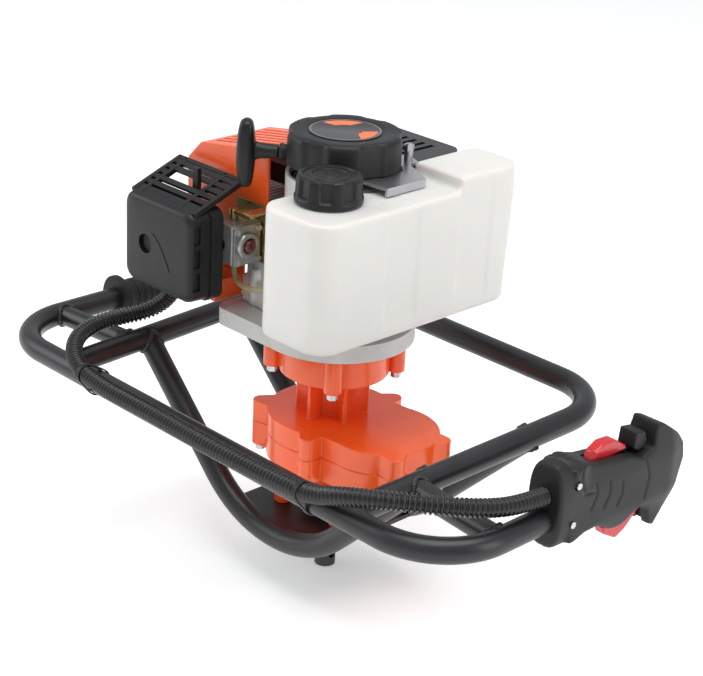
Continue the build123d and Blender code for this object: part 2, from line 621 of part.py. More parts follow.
cap_z = (tank_z[1] + 1.5, tank_z[1] + 25.0)
cap = rod(cap_r, *cap_z, cap_x, cap_y) - rod(neck_outer + gap, cap_z[0] - 1, cap_z[1] - 6, cap_x, cap_y)
for k in range(12):
    a = math.radians(30 * k)
    cap -= rod(4, cap_z[0] + 4, cap_z[1] + 1, cap_x + 32.0 * math.cos(a), cap_y + 32.0 * math.sin(a))
cap -= rod(cap_r - 7, cap_z[1] - 1, cap_z[1] + 1, cap_x, cap_y)
save("fuel_cap", cap)
save("cap_gasket", ring(neck_outer - 0.5, neck_inner - 3, neck_top + 0.1, cap_z[1] - 6 - 0.1, cap_x, cap_y))

# ================================================================ starter
starter_z = (402.0, 431.0)
starter_r = 52.0
starter_wall = 3.0
rope_z = 408.0
rope_r = 1.8
pull_angle = -135.8
pulley_r = 30.0
outlet_r = 57.0
handle_reach = 86.0
handle_z = (374.0, 437.0)
leg_angles = (30, 100, 190, 280)


def pulled(shape):
    """Place a shape built along +X on the line the starter rope leaves on."""
    return Rot(0, 0, pull_angle) * shape


lobed = Circle(starter_r - 3)
for k in range(6):
    lobed += Rot(0, 0, 15 + 60 * k) * Pos(starter_r - 14, 0) * RectangleRounded(28, 34, 9)
starter = extrude(Pos(0, 0, starter_z[0]) * lobed, starter_z[1] - starter_z[0])
starter += pulled(rod_x(7, 40, outlet_r, 0, rope_z))
for a in leg_angles:
    angle = math.radians(a)
    starter += rod(4.5, fan_z[1] + fit, starter_z[0] + 2, 48.5 * math.cos(angle), 48.5 * math.sin(angle))
starter -= rod(starter_r - 3 - starter_wall, starter_z[0] - 1, starter_z[1] - starter_wall)
starter -= pulled(rod_x(rope_r + 0.6, 30, outlet_r + 1, 0, rope_z))
starter += rod(5, rope_z - 4, starter_z[1] - 1)
save("starter_housing", longest(starter))

pulley = ring(pulley_r + 4, 5 + run, rope_z - 4, rope_z + 4)
pulley -= ring(pulley_r + 5, pulley_r, rope_z - rope_r - 0.4, rope_z + rope_r + 0.4)
save("starter_pulley", pulley)
save("starter_spring", ring(26, 22, rope_z + 5, rope_z + 15) + ring(18, 14, rope_z + 5, rope_z + 15))
save("starter_rope", pulled(rod_x(rope_r, pulley_r + 0.3, handle_reach - 9, 0, rope_z)))

pull = pulled(rod_x(7.5, outlet_r + gap, handle_reach, 0, rope_z))
pull += pulled(Pos(handle_reach, 0, handle_z[0]) * extrude(RectangleRounded(15, 22, 6), handle_z[1] - handle_z[0]))
pull -= pulled(rod_x(rope_r + fit, outlet_r, handle_reach - 9 + fit, 0, rope_z))
save("starter_handle", pull)

bracket_z = (398.9, 401.4)
lip_x = 75.0
tank_bracket = outline([(-14, 42), (-14, 56), (26, 60), (37, 56), (38, 44), (lip_x, 26), (lip_x, -21), (44, -24)],
                       *bracket_z)
tank_bracket -= rod(46.5, 390, 410)
tank_bracket += block(lip_x - 2.5, lip_x, -21, 26, tank_z[1] + 1, bracket_z[1])
for a in leg_angles:
    angle = math.radians(a)
    tank_bracket -= rod(4.5 + gap, 390, 410, 48.5 * math.cos(angle), 48.5 * math.sin(angle))
stud_x, stud_y = 30.0, 50.0
stud = rod(3, bracket_z[0] - 12, bracket_z[1] + 16, stud_x, stud_y)
stud += ring(4, 2.5, bracket_z[1] + fit, bracket_z[1] + 10, stud_x, stud_y)
stud += extrude(Pos(stud_x, stud_y, bracket_z[1] + 10) * RegularPolygon(5, 6), 5)
tank_bracket -= rod(3 + fit, 390, 410, stud_x, stud_y)
save("tank_bracket", longest(tank_bracket))
save("bracket_stud", stud)

# ================================================================ throttle handle
throttle_half = 18.0
throttle_wall = 2.5
throttle_front = -46.0
collar = [(-46, 166), (-46, 232), (-34, 240), (-14, 233), (4, 227), (44, 221), (62, 215), (76, 219), (81, 240),
          (90, 237), (112, 222), (121, 211), (124, 195), (115, 172), (103, 154), (91, 140), (84, 143), (81, 156),
          (76, 164), (66, 168), (57, 165), (48, 158), (38, 156), (28, 158), (19, 163), (10, 168), (3, 170),
          (-12, 169), (-28, 164), (-38, 161)]
body = side_profile(collar, arm_x - throttle_half, arm_x + throttle_half)
centre = Plane(origin=(arm_x - throttle_half + throttle_wall, 0, 0), x_dir=(0, 1, 0), z_dir=(1, 0, 0))
inner = offset(make_face(Polyline(*collar, close=True)), -throttle_wall, kind=Kind.INTERSECTION)
hollow = extrude(centre * inner, 2 * (throttle_half - throttle_wall))
conduit_r = 7.5
conduit_end_z = 208.0
trigger_half = 5.0
body -= hollow & block(0, 400, -30, 200, 100, 300)
body -= rod_y(tube_r + fit, throttle_front - 1, 90, arm_x, bar_z)
body -= block(arm_x - trigger_half - gap, arm_x + trigger_half + gap, 24, 92, 130, 176)
body -= block(arm_x - 2.5, arm_x + 2.5, 57, 69, 205, 225)
body -= block(arm_x - 6, arm_x + 6, 2, 52, 212, 245)
body -= rod_y(conduit_r + 1.2, throttle_front - 1, throttle_front + 6, arm_x, conduit_end_z)
body -= rod_y(5, throttle_front - 1, -20, arm_x, conduit_end_z)
split = block(0, arm_x - fit / 2, -200, 300, 0, 500)
save("throttle_inner_shell", longest(body & split))
save("throttle_outer_shell", longest(body & block(arm_x + fit / 2, 500, -200, 300, 0, 500)))
screw_spots = [(-26, 218), (-29, 184)]
save("throttle_screws", *[rod_x(3, arm_x + throttle_half, arm_x + throttle_half + 1.5, y, z) for y, z in screw_spots])

trigger = side_profile([(66, 168), (84, 178), (86, 166), (80, 158), (62, 143), (50, 138), (34, 147), (30, 155),
                        (44, 152), (58, 156)], arm_x - trigger_half, arm_x + trigger_half)
save("throttle_trigger", trigger)
lockout = side_profile([(4, 222), (9, 232), (20, 237), (34, 236), (50, 226), (50, 222)], arm_x - 5.5, arm_x + 5.5)
save("lockout_lever", lockout)
switch = side_profile([(56, 222), (58, 236), (70, 234), (74, 224), (70, 219.5), (62, 218)], arm_x - 9, arm_x + 9)
switch += block(arm_x - 2, arm_x + 2, 63, 67, 208, 222)
save("stop_switch", switch)

# ================================================================ cables and lines
def route_path(points, share=0.45):
    """Straight runs joined by tangent arcs as large as the two runs allow."""
    vectors = [Vector(*p) for p in points]
    radii = []
    for a, b, c in zip(vectors, vectors[1:], vectors[2:]):
        shorter = min((b - a).length, (c - b).length)
        half_turn = math.radians((b - a).get_angle(c - b) / 2)
        radii.append(share * shorter / math.tan(half_turn))
    return FilletPolyline(*points, radius=radii)


conduit_points = [
    (-112, -58, 300), (-138, -57, 286), (-160, -52, 260), (-176, -50, 230), (-194, -64, 212),
    (-205, -92, 210), (-206, -124, 209), (-191, -154, 206), (-158, -176, 199), (-112, -181.6, 196.5),
    (-44, -181.0, 197.0), (40, -182.2, 196.4), (112, -181.0, 197.2), (160, -180, 199.5),
    (196, -176, 212), (236, -160, 219), (266, -134, 218), (283, -104, 213), (291, -74, 209.5),
    (arm_x, throttle_front + 5.0, conduit_end_z)]
conduit_path = route_path(conduit_points)
save("throttle_conduit", pipe(conduit_path, conduit_r))

fuel_line_r = 2.5
fuel_points = [(tank_x[0] - fit, -82, 306), (0, -82, 302), (-24, -77, 292), (-48, -68, 283), (-71, -61, 283),
               (-76, -60, carb_z[0] - 0.1)]
fuel_path = route_path(fuel_points)
save("fuel_line", pipe(fuel_path, fuel_line_r))

tie_width = 4.5
tie_t = 1.3


def cable_tie(x, y, z):
    """A strap round the handle bar and the conduit, whose centre is at (y, z) there."""
    def strap(extra):
        bar = Pos(bar_y, bar_z) * Circle(tube_r + extra)
        cord = Pos(y, z) * Circle(conduit_r + extra)
        return make_hull([*bar.edges(), *cord.edges()])
    face = strap(0.6 + tie_t) - strap(0.6)
    return extrude(Plane(origin=(x, 0, 0), x_dir=(0, 1, 0), z_dir=(1, 0, 0)) * face, tie_width)


def conduit_centre(x):
    """Where the conduit crosses the plane at x, on its stretch along the handle bar."""
    low, high = 0.2, 0.9
    while high - low > 1e-6:
        middle = (low + high) / 2
        low, high = (middle, high) if (conduit_path @ middle).X < x else (low, middle)
    point = conduit_path @ low
    return (point.Y, point.Z)


tie_x = (-142.0, 150.0)
save("cable_ties", *[cable_tie(x, *conduit_centre(x + tie_width / 2)) for x in tie_x])
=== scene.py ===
"""Looks of an ice auger power head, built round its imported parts, in metres."""
import json
import math

import bmesh
import bpy
from mathutils import Matrix, Vector

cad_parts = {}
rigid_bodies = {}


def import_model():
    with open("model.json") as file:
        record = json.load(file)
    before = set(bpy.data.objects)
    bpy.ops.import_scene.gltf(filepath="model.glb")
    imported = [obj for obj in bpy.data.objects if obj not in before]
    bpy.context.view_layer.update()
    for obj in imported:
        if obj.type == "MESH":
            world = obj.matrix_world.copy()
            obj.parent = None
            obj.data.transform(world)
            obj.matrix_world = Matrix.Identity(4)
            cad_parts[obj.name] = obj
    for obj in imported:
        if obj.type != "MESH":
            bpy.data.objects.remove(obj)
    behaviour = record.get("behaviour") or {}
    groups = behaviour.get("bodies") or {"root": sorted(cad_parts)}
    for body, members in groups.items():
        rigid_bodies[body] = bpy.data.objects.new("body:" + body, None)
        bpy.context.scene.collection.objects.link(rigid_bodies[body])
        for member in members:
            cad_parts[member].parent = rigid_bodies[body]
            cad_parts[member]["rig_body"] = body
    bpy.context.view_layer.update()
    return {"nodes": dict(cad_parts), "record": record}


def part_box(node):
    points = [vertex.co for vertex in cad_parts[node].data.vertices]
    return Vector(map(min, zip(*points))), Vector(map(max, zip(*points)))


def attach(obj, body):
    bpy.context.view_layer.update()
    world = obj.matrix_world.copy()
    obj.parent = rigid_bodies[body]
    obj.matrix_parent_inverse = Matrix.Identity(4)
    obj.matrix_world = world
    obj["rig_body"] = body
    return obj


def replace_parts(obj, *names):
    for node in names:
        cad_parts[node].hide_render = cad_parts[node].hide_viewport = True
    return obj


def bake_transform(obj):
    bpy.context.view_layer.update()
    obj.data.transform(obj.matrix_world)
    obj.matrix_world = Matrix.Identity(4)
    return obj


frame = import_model()

# ---------------------------------------------------------------- camera, light and floor
# A long lens looks down on the right front corner. A wide soft box hangs over the object, a second
# one stands at its left, and the pale floor and the sky fill the shadows.
MM = 0.001


def linked(name, data):
    """Puts an object that holds the data in the scene."""
    piece = bpy.data.objects.new(name, data)
    bpy.context.collection.objects.link(piece)
    return piece


turn, tilt, roll = math.radians(44.84), math.radians(23.13), math.radians(2.98)
back = Vector((math.sin(turn) * math.cos(tilt), -math.cos(turn) * math.cos(tilt), math.sin(tilt)))
level = Vector((math.cos(turn), math.sin(turn), 0.0))
upright = back.cross(level)
side = level * math.cos(roll) + upright * math.sin(roll)
top = upright * math.cos(roll) - level * math.sin(roll)
eye = Vector((1.0824, -1.0677, 0.8841))
lens = bpy.data.cameras.new("camera")
lens.lens = 92.81
lens.sensor_width = 36.0
lens.clip_end = 50.0
camera = linked("camera", lens)
camera.matrix_world = Matrix.Translation(eye) @ Matrix((side, top, back)).transposed().to_4x4()
bpy.context.scene.camera = camera
bpy.context.scene.view_settings.view_transform = "Standard"

sky = bpy.data.worlds.new("sky")
sky.use_nodes = True
air = sky.node_tree.nodes["Background"].inputs
air["Color"].default_value = (0.96, 0.98, 1.0, 1.0)
air["Strength"].default_value = 0.62
bpy.context.scene.world = sky


def soft_box(name, place, aim, width, height, power):
    """An area light of the given size that points from place to aim."""
    light = bpy.data.lights.new(name, "AREA")
    light.shape = "RECTANGLE"
    light.size, light.size_y, light.energy = width, height, power
    facing = (Vector(place) - Vector(aim)).to_track_quat("Z", "Y").to_matrix().to_4x4()
    linked(name, light).matrix_world = Matrix.Translation(place) @ facing


heart = (0.0, 0.0, 0.25)
soft_box("over", (0.3, -0.1, 2.2), heart, 1.8, 1.4, 27.0)
soft_box("left", (-1.6, -1.2, 1.2), heart, 1.2, 1.4, 13.0)
soft_box("right", (1.9, 0.5, 0.9), heart, 0.7, 1.4, 9.0)

floor_mesh = bpy.data.meshes.new("floor")
floor_size, floor_z = 12.0, -0.001
floor_mesh.from_pydata([(sx * floor_size, sy * floor_size, floor_z)
                        for sx, sy in ((-1, -1), (1, -1), (1, 1), (-1, 1))], [], [(0, 1, 2, 3)])
floor = linked("floor", floor_mesh)
floor_paint = bpy.data.materials.new("pale floor")
floor_paint.use_nodes = True
for label, value in (("Base Color", (0.93, 0.93, 0.93, 1.0)), ("Roughness", 0.9),
                     ("Emission Color", (1.0, 1.0, 1.0, 1.0)), ("Emission Strength", 0.30)):
    floor_paint.node_tree.nodes["Principled BSDF"].inputs[label].default_value = value
floor_mesh.materials.append(floor_paint)

# ---------------------------------------------------------------- tube frame
# Bent steel tubes, welded together and dipped in black powder coat. The coat is semi-gloss, with a
# faint orange peel, and it runs over the weld beads.


def shader_group(name, values, results):
    """A shader node group with named inputs, given with their usual values, and named outputs."""
    group = bpy.data.node_groups.new(name, "ShaderNodeTree")
    group.interface.new_socket("Place", in_out="INPUT", socket_type="NodeSocketVector")
    for label, value in values.items():
        socket = group.interface.new_socket(label, in_out="INPUT", socket_type="NodeSocketFloat")
        socket.default_value = value
    for label in results:
        group.interface.new_socket(label, in_out="OUTPUT", socket_type="NodeSocketFloat")
    return group, group.nodes.new("NodeGroupInput"), group.nodes.new("NodeGroupOutput")


def node(tree, kind, inputs, **settings):
    """Adds a node; each input is a value, or the output that feeds it."""
    made = tree.nodes.new(kind)
    for label, value in settings.items():
        setattr(made, label, value)
    for label, value in inputs.items():
        if isinstance(value, bpy.types.NodeSocket):
            tree.links.new(value, made.inputs[label])
        else:
            made.inputs[label].default_value = value
    return made


surface, given, made = shader_group("moulded surface", {"Grain": 900.0, "Clouds": 14.0}, ("Height", "Cloud", "Dust"))
grain = node(surface, "ShaderNodeTexNoise", {"Vector": given.outputs["Place"], "Scale": given.outputs["Grain"],
                                             "Detail": 3.0, "Roughness": 0.6})
clouds = node(surface, "ShaderNodeTexNoise", {"Vector": given.outputs["Place"], "Scale": given.outputs["Clouds"],
                                              "Detail": 5.0, "Roughness": 0.65})
spread = node(surface, "ShaderNodeMapRange", {"Value": clouds.outputs[0], "From Min": 0.36, "From Max": 0.64})
specks = node(surface, "ShaderNodeTexNoise", {"Vector": given.outputs["Place"], "Scale": 420.0, "Detail": 2.0})
dust = node(surface, "ShaderNodeMapRange", {"Value": specks.outputs[0], "From Min": 0.70, "From Max": 0.78})
surface.links.new(grain.outputs[0], made.inputs["Height"])
surface.links.new(spread.outputs[0], made.inputs["Cloud"])
surface.links.new(dust.outputs[0], made.inputs["Dust"])


def finish(name, colour, tint, rough, depth, grain_scale=900.0, cloud_scale=14.0, dust_colour=None, **sockets):
    """A material whose colour drifts from colour to tint, and whose roughness drifts between the two in rough."""
    paint = bpy.data.materials.new(name)
    paint.use_nodes = True
    tree = paint.node_tree
    shader = tree.nodes["Principled BSDF"]
    place = tree.nodes.new("ShaderNodeTexCoord")
    skin = node(tree, "ShaderNodeGroup", {}, node_tree=surface)
    tree.links.new(place.outputs["Object"], skin.inputs["Place"])
    skin.inputs["Grain"].default_value = grain_scale
    skin.inputs["Clouds"].default_value = cloud_scale
    drift = node(tree, "ShaderNodeMix", {0: skin.outputs["Cloud"], 6: (*colour, 1.0), 7: (*tint, 1.0)},
                 data_type="RGBA")
    speckled = node(tree, "ShaderNodeMix", {0: skin.outputs["Dust"], 6: drift.outputs[2],
                                            7: (*(dust_colour or tint), 1.0)}, data_type="RGBA")
    tree.links.new(speckled.outputs[2], shader.inputs["Base Color"])
    sheen = node(tree, "ShaderNodeMapRange", {"Value": skin.outputs["Cloud"], "To Min": rough[0], "To Max": rough[1]})
    tree.links.new(sheen.outputs[0], shader.inputs["Roughness"])
    bump = node(tree, "ShaderNodeBump", {"Height": skin.outputs["Height"], "Distance": depth, "Strength": 1.0})
    tree.links.new(bump.outputs[0], shader.inputs["Normal"])
    for label, value in sockets.items():
        shader.inputs[label.replace("_", " ")].default_value = value
    return paint


def coat(material, *names):
    """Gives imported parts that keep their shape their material."""
    for name in names:
        part = frame["nodes"][name]
        part.data.materials.clear()
        part.data.materials.append(material)


def placed(name, mesh, material, body, slot):
    """Puts a mesh in the scene as a piece of the given body."""
    piece = linked(name, mesh)
    mesh.materials.clear()
    mesh.materials.append(material)
    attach(piece, body)
    return piece


def smooth_by_angle(mesh, degrees=32.0):
    mesh.shade_smooth()
    mesh.set_sharp_from_angle(angle=math.radians(degrees))


def softened(part, material, width, segments=2, clamp=True):
    """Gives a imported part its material, joins its triangles into faces and rounds its edges by width."""
    source = frame["nodes"][part]
    mesh = source.data.copy()
    shape = bmesh.new()
    shape.from_mesh(mesh)
    bmesh.ops.remove_doubles(shape, verts=shape.verts, dist=1e-5)
    bmesh.ops.dissolve_limit(shape, angle_limit=math.radians(1.0), verts=shape.verts, edges=shape.edges)
    shape.to_mesh(mesh)
    shape.free()
    slot = next(s["material_slot"] for s in frame["record"]["subparts"] if s["node"] == part)
    piece = placed(part + "_finished", mesh, material, source["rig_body"], slot)
    if width:
        edges = piece.modifiers.new("rounded edges", "BEVEL")
        edges.width, edges.segments, edges.use_clamp_overlap = width, segments, clamp
        edges.limit_method, edges.angle_limit = "ANGLE", math.radians(32.0)
    smooth_by_angle(mesh)
    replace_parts(piece, part)


powder_coat = finish("black powder coat", (0.010, 0.010, 0.012), (0.014, 0.014, 0.016), (0.30, 0.40), 0.00003, 500.0)
for tube in ("front_handle_tube", "rear_bail_tube", "cradle_tubes", "handle_braces"):
    softened(tube, powder_coat, 0.0)
softened("gearbox_plate", powder_coat, 0.0008)


def geometry_tree(name, **sizes):
    """A geometry node tree with named sizes and a named finish."""
    tree = bpy.data.node_groups.new(name, "GeometryNodeTree")
    tree.interface.new_socket("Geometry", in_out="INPUT", socket_type="NodeSocketGeometry")
    tree.interface.new_socket("Finish", in_out="INPUT", socket_type="NodeSocketMaterial")
    for label, value in sizes.items():
        socket = tree.interface.new_socket(label, in_out="INPUT", socket_type="NodeSocketFloat")
        socket.default_value = value
    tree.interface.new_socket("Geometry", in_out="OUTPUT", socket_type="NodeSocketGeometry")
    return tree, tree.nodes.new("NodeGroupInput"), tree.nodes.new("NodeGroupOutput")


def close_tree(tree, given, made, geometry):
    """Ends a tree: the instances become real and get the finish."""
    real = node(tree, "GeometryNodeRealizeInstances", {"Geometry": geometry})
    shaded = node(tree, "GeometryNodeSetShadeSmooth", {"Geometry": real.outputs[0], "Shade Smooth": True})
    dressed = node(tree, "GeometryNodeSetMaterial", {
        "Geometry": shaded.outputs[0], "Material": given.outputs["Finish"]})
    tree.links.new(dressed.outputs[0], made.inputs["Geometry"])


def evaluated(piece):
    """The mesh that a piece has once its modifiers have run."""
    bpy.context.view_layer.update()
    return bpy.data.meshes.new_from_object(piece.evaluated_get(bpy.context.evaluated_depsgraph_get()))


def grown(name, tree, base, material, body, slot, sharp=32.0, **sizes):
    """Runs a geometry tree on the base mesh and keeps the result as a plain piece."""
    piece = linked(name, base)
    modifier = piece.modifiers.new(tree.name, "NODES")
    modifier.node_group = tree
    values = {"Finish": material, **sizes}
    for item in tree.interface.items_tree:
        if item.in_out == "INPUT" and item.name in values:
            modifier[item.identifier] = values[item.name]
    mesh = evaluated(piece)
    piece.modifiers.clear()
    piece.data = mesh
    smooth_by_angle(mesh, sharp)
    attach(piece, body)
    return piece


def points_mesh(name, points, joined=False):
    """Loose points, given in mm, for a geometry tree to start from; joined makes them one line."""
    mesh = bpy.data.meshes.new(name)
    edges = [(k, k + 1) for k in range(len(points) - 1)] if joined else []
    mesh.from_pydata([Vector(p) * MM for p in points], edges, [])
    return mesh


beads, given, made = geometry_tree("weld bead", Bead_Radius=0.0026, Bead_Step=0.0022)
line = node(beads, "GeometryNodeMeshToCurve", {"Mesh": given.outputs["Geometry"]})
spots = node(beads, "GeometryNodeCurveToPoints", {"Curve": line.outputs[0], "Length": given.outputs["Bead_Step"]},
             mode="LENGTH")
drop = node(beads, "GeometryNodeMeshIcoSphere", {"Radius": given.outputs["Bead_Radius"], "Subdivisions": 2})
row = node(beads, "GeometryNodeInstanceOnPoints", {"Points": spots.outputs[0], "Instance": drop.outputs[0]})
wobble = node(beads, "FunctionNodeRandomValue", {2: 0.85, 3: 1.15, "Seed": 7}, data_type="FLOAT")
beads.links.new(wobble.outputs[1], row.inputs["Scale"])
close_tree(beads, given, made, row.outputs[0])

tube_r = 11.0
bar_y, bar_z, arm_x = -164.0, 186.0, 292.0
brace_r, brace_y, leg_ys = 10.0, -88.0, (-68.0, 54.0)
bail_x, bail_length, bail_spread, bail_rise = 186.0, 329.0, 10.0, 9.0
leg_slope = math.radians(44.0)


def saddle(centre, direction, r_branch, r_main, main_axis, count=40):
    """The line where a tube that leaves centre along direction meets the round wall of the main tube."""
    direction = Vector(direction).normalized()
    main_axis = Vector(main_axis).normalized()
    across = direction.cross(main_axis).normalized()
    along = across.cross(direction).normalized()
    ring = []
    for k in range(count + 1):
        a = 2 * math.pi * k / count
        offset = across * (r_branch * math.cos(a)) + along * (r_branch * math.sin(a))
        flat = offset - main_axis * offset.dot(main_axis)
        lean = direction - main_axis * direction.dot(main_axis)
        b, c = flat.dot(lean), flat.length_squared - r_main ** 2
        reach = (-b + math.sqrt(max(b * b - lean.length_squared * c, 0.0))) / lean.length_squared
        ring.append(Vector(centre) + offset + direction * reach)
    return ring


def on_bail(hand, y):
    """A point of the bail's axis, on the right (1) or the left (-1), in mm."""
    share = (y - bar_y) / bail_length
    return Vector((hand * (bail_x + share * bail_spread), y, bar_z + share * bail_rise))


weld_lines = []
for hand in (-1, 1):
    bail_way = (hand * bail_spread, bail_length, bail_rise)
    arm_end, bail_end = Vector((hand * arm_x, brace_y - 8.0, bar_z)), on_bail(hand, brace_y)
    weld_lines.append(saddle(arm_end, bail_end - arm_end, brace_r, tube_r, (0, 1, 0)))
    weld_lines.append(saddle(bail_end, arm_end - bail_end, brace_r, tube_r, bail_way))
    weld_lines.append(saddle(on_bail(hand, bar_y), bail_way, tube_r, tube_r, (1, 0, 0)))
    for y in leg_ys:
        leg = Vector((-hand * math.cos(leg_slope), 0.0, -math.sin(leg_slope)))
        weld_lines.append(saddle(on_bail(hand, y), leg, tube_r, tube_r, bail_way))
for k, weld in enumerate(weld_lines):
    grown(f"weld_bead_{k + 1}", beads, points_mesh("weld", weld, joined=True), powder_coat, "frame",
          "black_tube", 60.0)

# ---------------------------------------------------------------- left grip
# Thick black rubber, moulded in one piece with a disc that keeps the glove off the bend. Shallow
# rings round its length give the hold.


def closed_mesh(name, shape):
    """Ends a bmesh as a mesh whose faces all look outward."""
    bmesh.ops.recalc_face_normals(shape, faces=shape.faces)
    mesh = bpy.data.meshes.new(name)
    shape.to_mesh(mesh)
    shape.free()
    return mesh


def lathe(name, profile, place, count=72, wave=None):
    """Turns (radius, height) rows, in mm, into a closed skin; a third value scales the wave in that row's radius."""
    shape = bmesh.new()
    rings = []
    for row in profile:
        r, h, depth = (*row, 0.0)[:3]
        if r == 0.0:
            rings.append([shape.verts.new(place @ Vector((0.0, 0.0, h * MM)))])
            continue
        ring = []
        for k in range(count):
            a = 2 * math.pi * k / count
            reach = (r - (depth * wave(a) if wave else 0.0)) * MM
            ring.append(shape.verts.new(place @ Vector((reach * math.cos(a), reach * math.sin(a), h * MM))))
        rings.append(ring)
    for low, high in zip(rings, rings[1:]):
        for k in range(count):
            n = (k + 1) % count
            if len(low) == 1:
                shape.faces.new((low[0], high[n], high[k]))
            elif len(high) == 1:
                shape.faces.new((low[k], low[n], high[0]))
            else:
                shape.faces.new((low[k], low[n], high[n], high[k]))
    mesh = closed_mesh(name, shape)
    smooth_by_angle(mesh, 40.0)
    return mesh


def bridge(shape, loops):
    """Joins loops of as many vertices, each to the next."""
    for low, high in zip(loops, loops[1:]):
        for k in range(len(low)):
            n = (k + 1) % len(low)
            shape.faces.new((low[k], low[n], high[n], high[k]))


rubber = finish("black rubber", (0.006, 0.006, 0.007), (0.011, 0.011, 0.012), (0.55, 0.72), 0.00006, 1400.0,
                Specular_IOR_Level=0.35)
grip_front, grip_rear, grip_r, flange_r = -28.0, 100.0, 16.0, 23.0
tube_end, grip_bore, rib_count, rib_step = 92.0, 11.04, 12, 8.0
grip_rows = [(0.0, tube_end), (grip_bore, tube_end), (grip_bore, grip_front), (flange_r - 1.2, grip_front),
             (flange_r, grip_front + 1.2), (flange_r, grip_front + 4.6), (flange_r - 1.4, grip_front + 6.0),
             (18.4, grip_front + 7.0), (grip_r, grip_front + 10.0)]
for k in range(rib_count):
    rib = grip_front + 16.0 + rib_step * k
    grip_rows += [(grip_r, rib), (grip_r - 1.0, rib + 0.8), (grip_r - 1.0, rib + 2.6), (grip_r, rib + 3.4)]
grip_rows += [(grip_r, grip_rear - 5.0), (grip_r - 0.8, grip_rear - 2.2), (grip_r - 3.0, grip_rear - 0.6),
              (grip_r - 7.0, grip_rear), (0.0, grip_rear)]
along_y = Matrix.Translation(Vector((-arm_x, 0.0, bar_z)) * MM) @ Matrix.Rotation(math.radians(-90.0), 4, "X")
left_grip = placed("left_grip_rubber", lathe("left_grip_rubber", grip_rows, along_y), rubber,
                   "frame", "black_rubber")
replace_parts(left_grip, "left_grip")

# ---------------------------------------------------------------- gearbox
# Two halves of cast aluminium under thick orange paint, closed by six hexagon bolts from below. The
# upper half has the ribbed column and the bell that the engine stands on.
orange_paint = finish("orange paint", (0.93, 0.115, 0.012), (0.86, 0.095, 0.010), (0.26, 0.38), 0.00008, 260.0,
                      Coat_Weight=0.35, Coat_Roughness=0.12)
for half in ("gearbox_lower_case", "gearbox_upper_case"):
    softened(half, orange_paint, 0.0009, 2, clamp=False)

zinc = finish("bright zinc plate", (0.62, 0.62, 0.64), (0.50, 0.50, 0.52), (0.22, 0.38), 0.00002, 1500.0,
              Metallic=1.0)
steel = finish("ground steel", (0.42, 0.42, 0.44), (0.34, 0.34, 0.35), (0.28, 0.42), 0.00002, 1800.0, Metallic=1.0)
dark_steel = finish("dark oiled steel", (0.06, 0.06, 0.065), (0.10, 0.09, 0.085), (0.35, 0.5), 0.00003, 900.0,
                    Metallic=0.8)
coat(steel, "gearbox_bearings", "output_gear", "idler_gears", "input_pinion", "clutch_drum")
coat(rubber, "output_seal")
softened("output_shaft", dark_steel, 0.0003)


def worked(tree, operation, *values):
    """Adds a maths node and returns its result."""
    return node(tree, "ShaderNodeMath", dict(enumerate(values)), operation=operation).outputs[0]


bolts, given, made = geometry_tree("hexagon bolts", Across=0.008, Head=0.0034, Washer=0.0052, Washer_Thickness=0.001,
                                   Shank=0.0024, Shank_Length=0.01, Turn_Over=0.0)
head = node(bolts, "GeometryNodeMeshCylinder", {"Vertices": 6, "Depth": given.outputs["Head"]})
corner_share = 0.577
bolts.links.new(worked(bolts, "MULTIPLY", given.outputs["Across"], corner_share), head.inputs["Radius"])
ring = node(bolts, "GeometryNodeMeshCylinder", {"Vertices": 32, "Radius": given.outputs["Washer"],
                                                "Depth": given.outputs["Washer_Thickness"]})
shank = node(bolts, "GeometryNodeMeshCylinder", {"Vertices": 16, "Radius": given.outputs["Shank"],
                                                 "Depth": given.outputs["Shank_Length"]})
half_head = worked(bolts, "MULTIPLY_ADD", given.outputs["Head"], 0.5, given.outputs["Washer_Thickness"])
half_ring = worked(bolts, "MULTIPLY", given.outputs["Washer_Thickness"], 0.5)
half_shank = worked(bolts, "MULTIPLY", given.outputs["Shank_Length"], -0.5)
whole = node(bolts, "GeometryNodeJoinGeometry", {})
for solid, lift in ((head, half_head), (ring, half_ring), (shank, half_shank)):
    offset = node(bolts, "ShaderNodeCombineXYZ", {"Z": lift})
    lifted = node(bolts, "GeometryNodeTransform", {"Geometry": solid.outputs[0], "Translation": offset.outputs[0]})
    bolts.links.new(lifted.outputs[0], whole.inputs[0])
spin = node(bolts, "FunctionNodeRandomValue", {2: 0.0, 3: 1.04, "Seed": 3}, data_type="FLOAT")
pose = node(bolts, "ShaderNodeCombineXYZ", {"X": given.outputs["Turn_Over"], "Z": spin.outputs[1]})
bolt_row = node(bolts, "GeometryNodeInstanceOnPoints", {
    "Points": given.outputs["Geometry"], "Instance": whole.outputs[0], "Rotation": pose.outputs[0]})
close_tree(bolts, given, made, bolt_row.outputs[0])

gear_turn = math.radians(6.0)


def on_gearbox(x, y, z):
    """A point given along the gearbox, in mm, where the turned gearbox has it."""
    return (x * math.cos(gear_turn) - y * math.sin(gear_turn), x * math.sin(gear_turn) + y * math.cos(gear_turn), z)


case_bottom, bell_floor, plate_bottom, ear_reach, sunk = 118.0, 205.0, 60.0, 57.0, 0.02
boss_spots = [(-60.0, 31.0), (-60.0, -31.0), (24.0, 61.0), (24.0, -61.0), (112.0, 22.0), (105.0, -37.0)]
ear_spots = [(ear_reach * math.cos(math.radians(a)), ear_reach * math.sin(math.radians(a)))
             for a in (39, 129, 219, 309)]
foot_spots = [(sx * 34.0, sy * 26.0) for sx in (-1, 1) for sy in (-1, 1)]


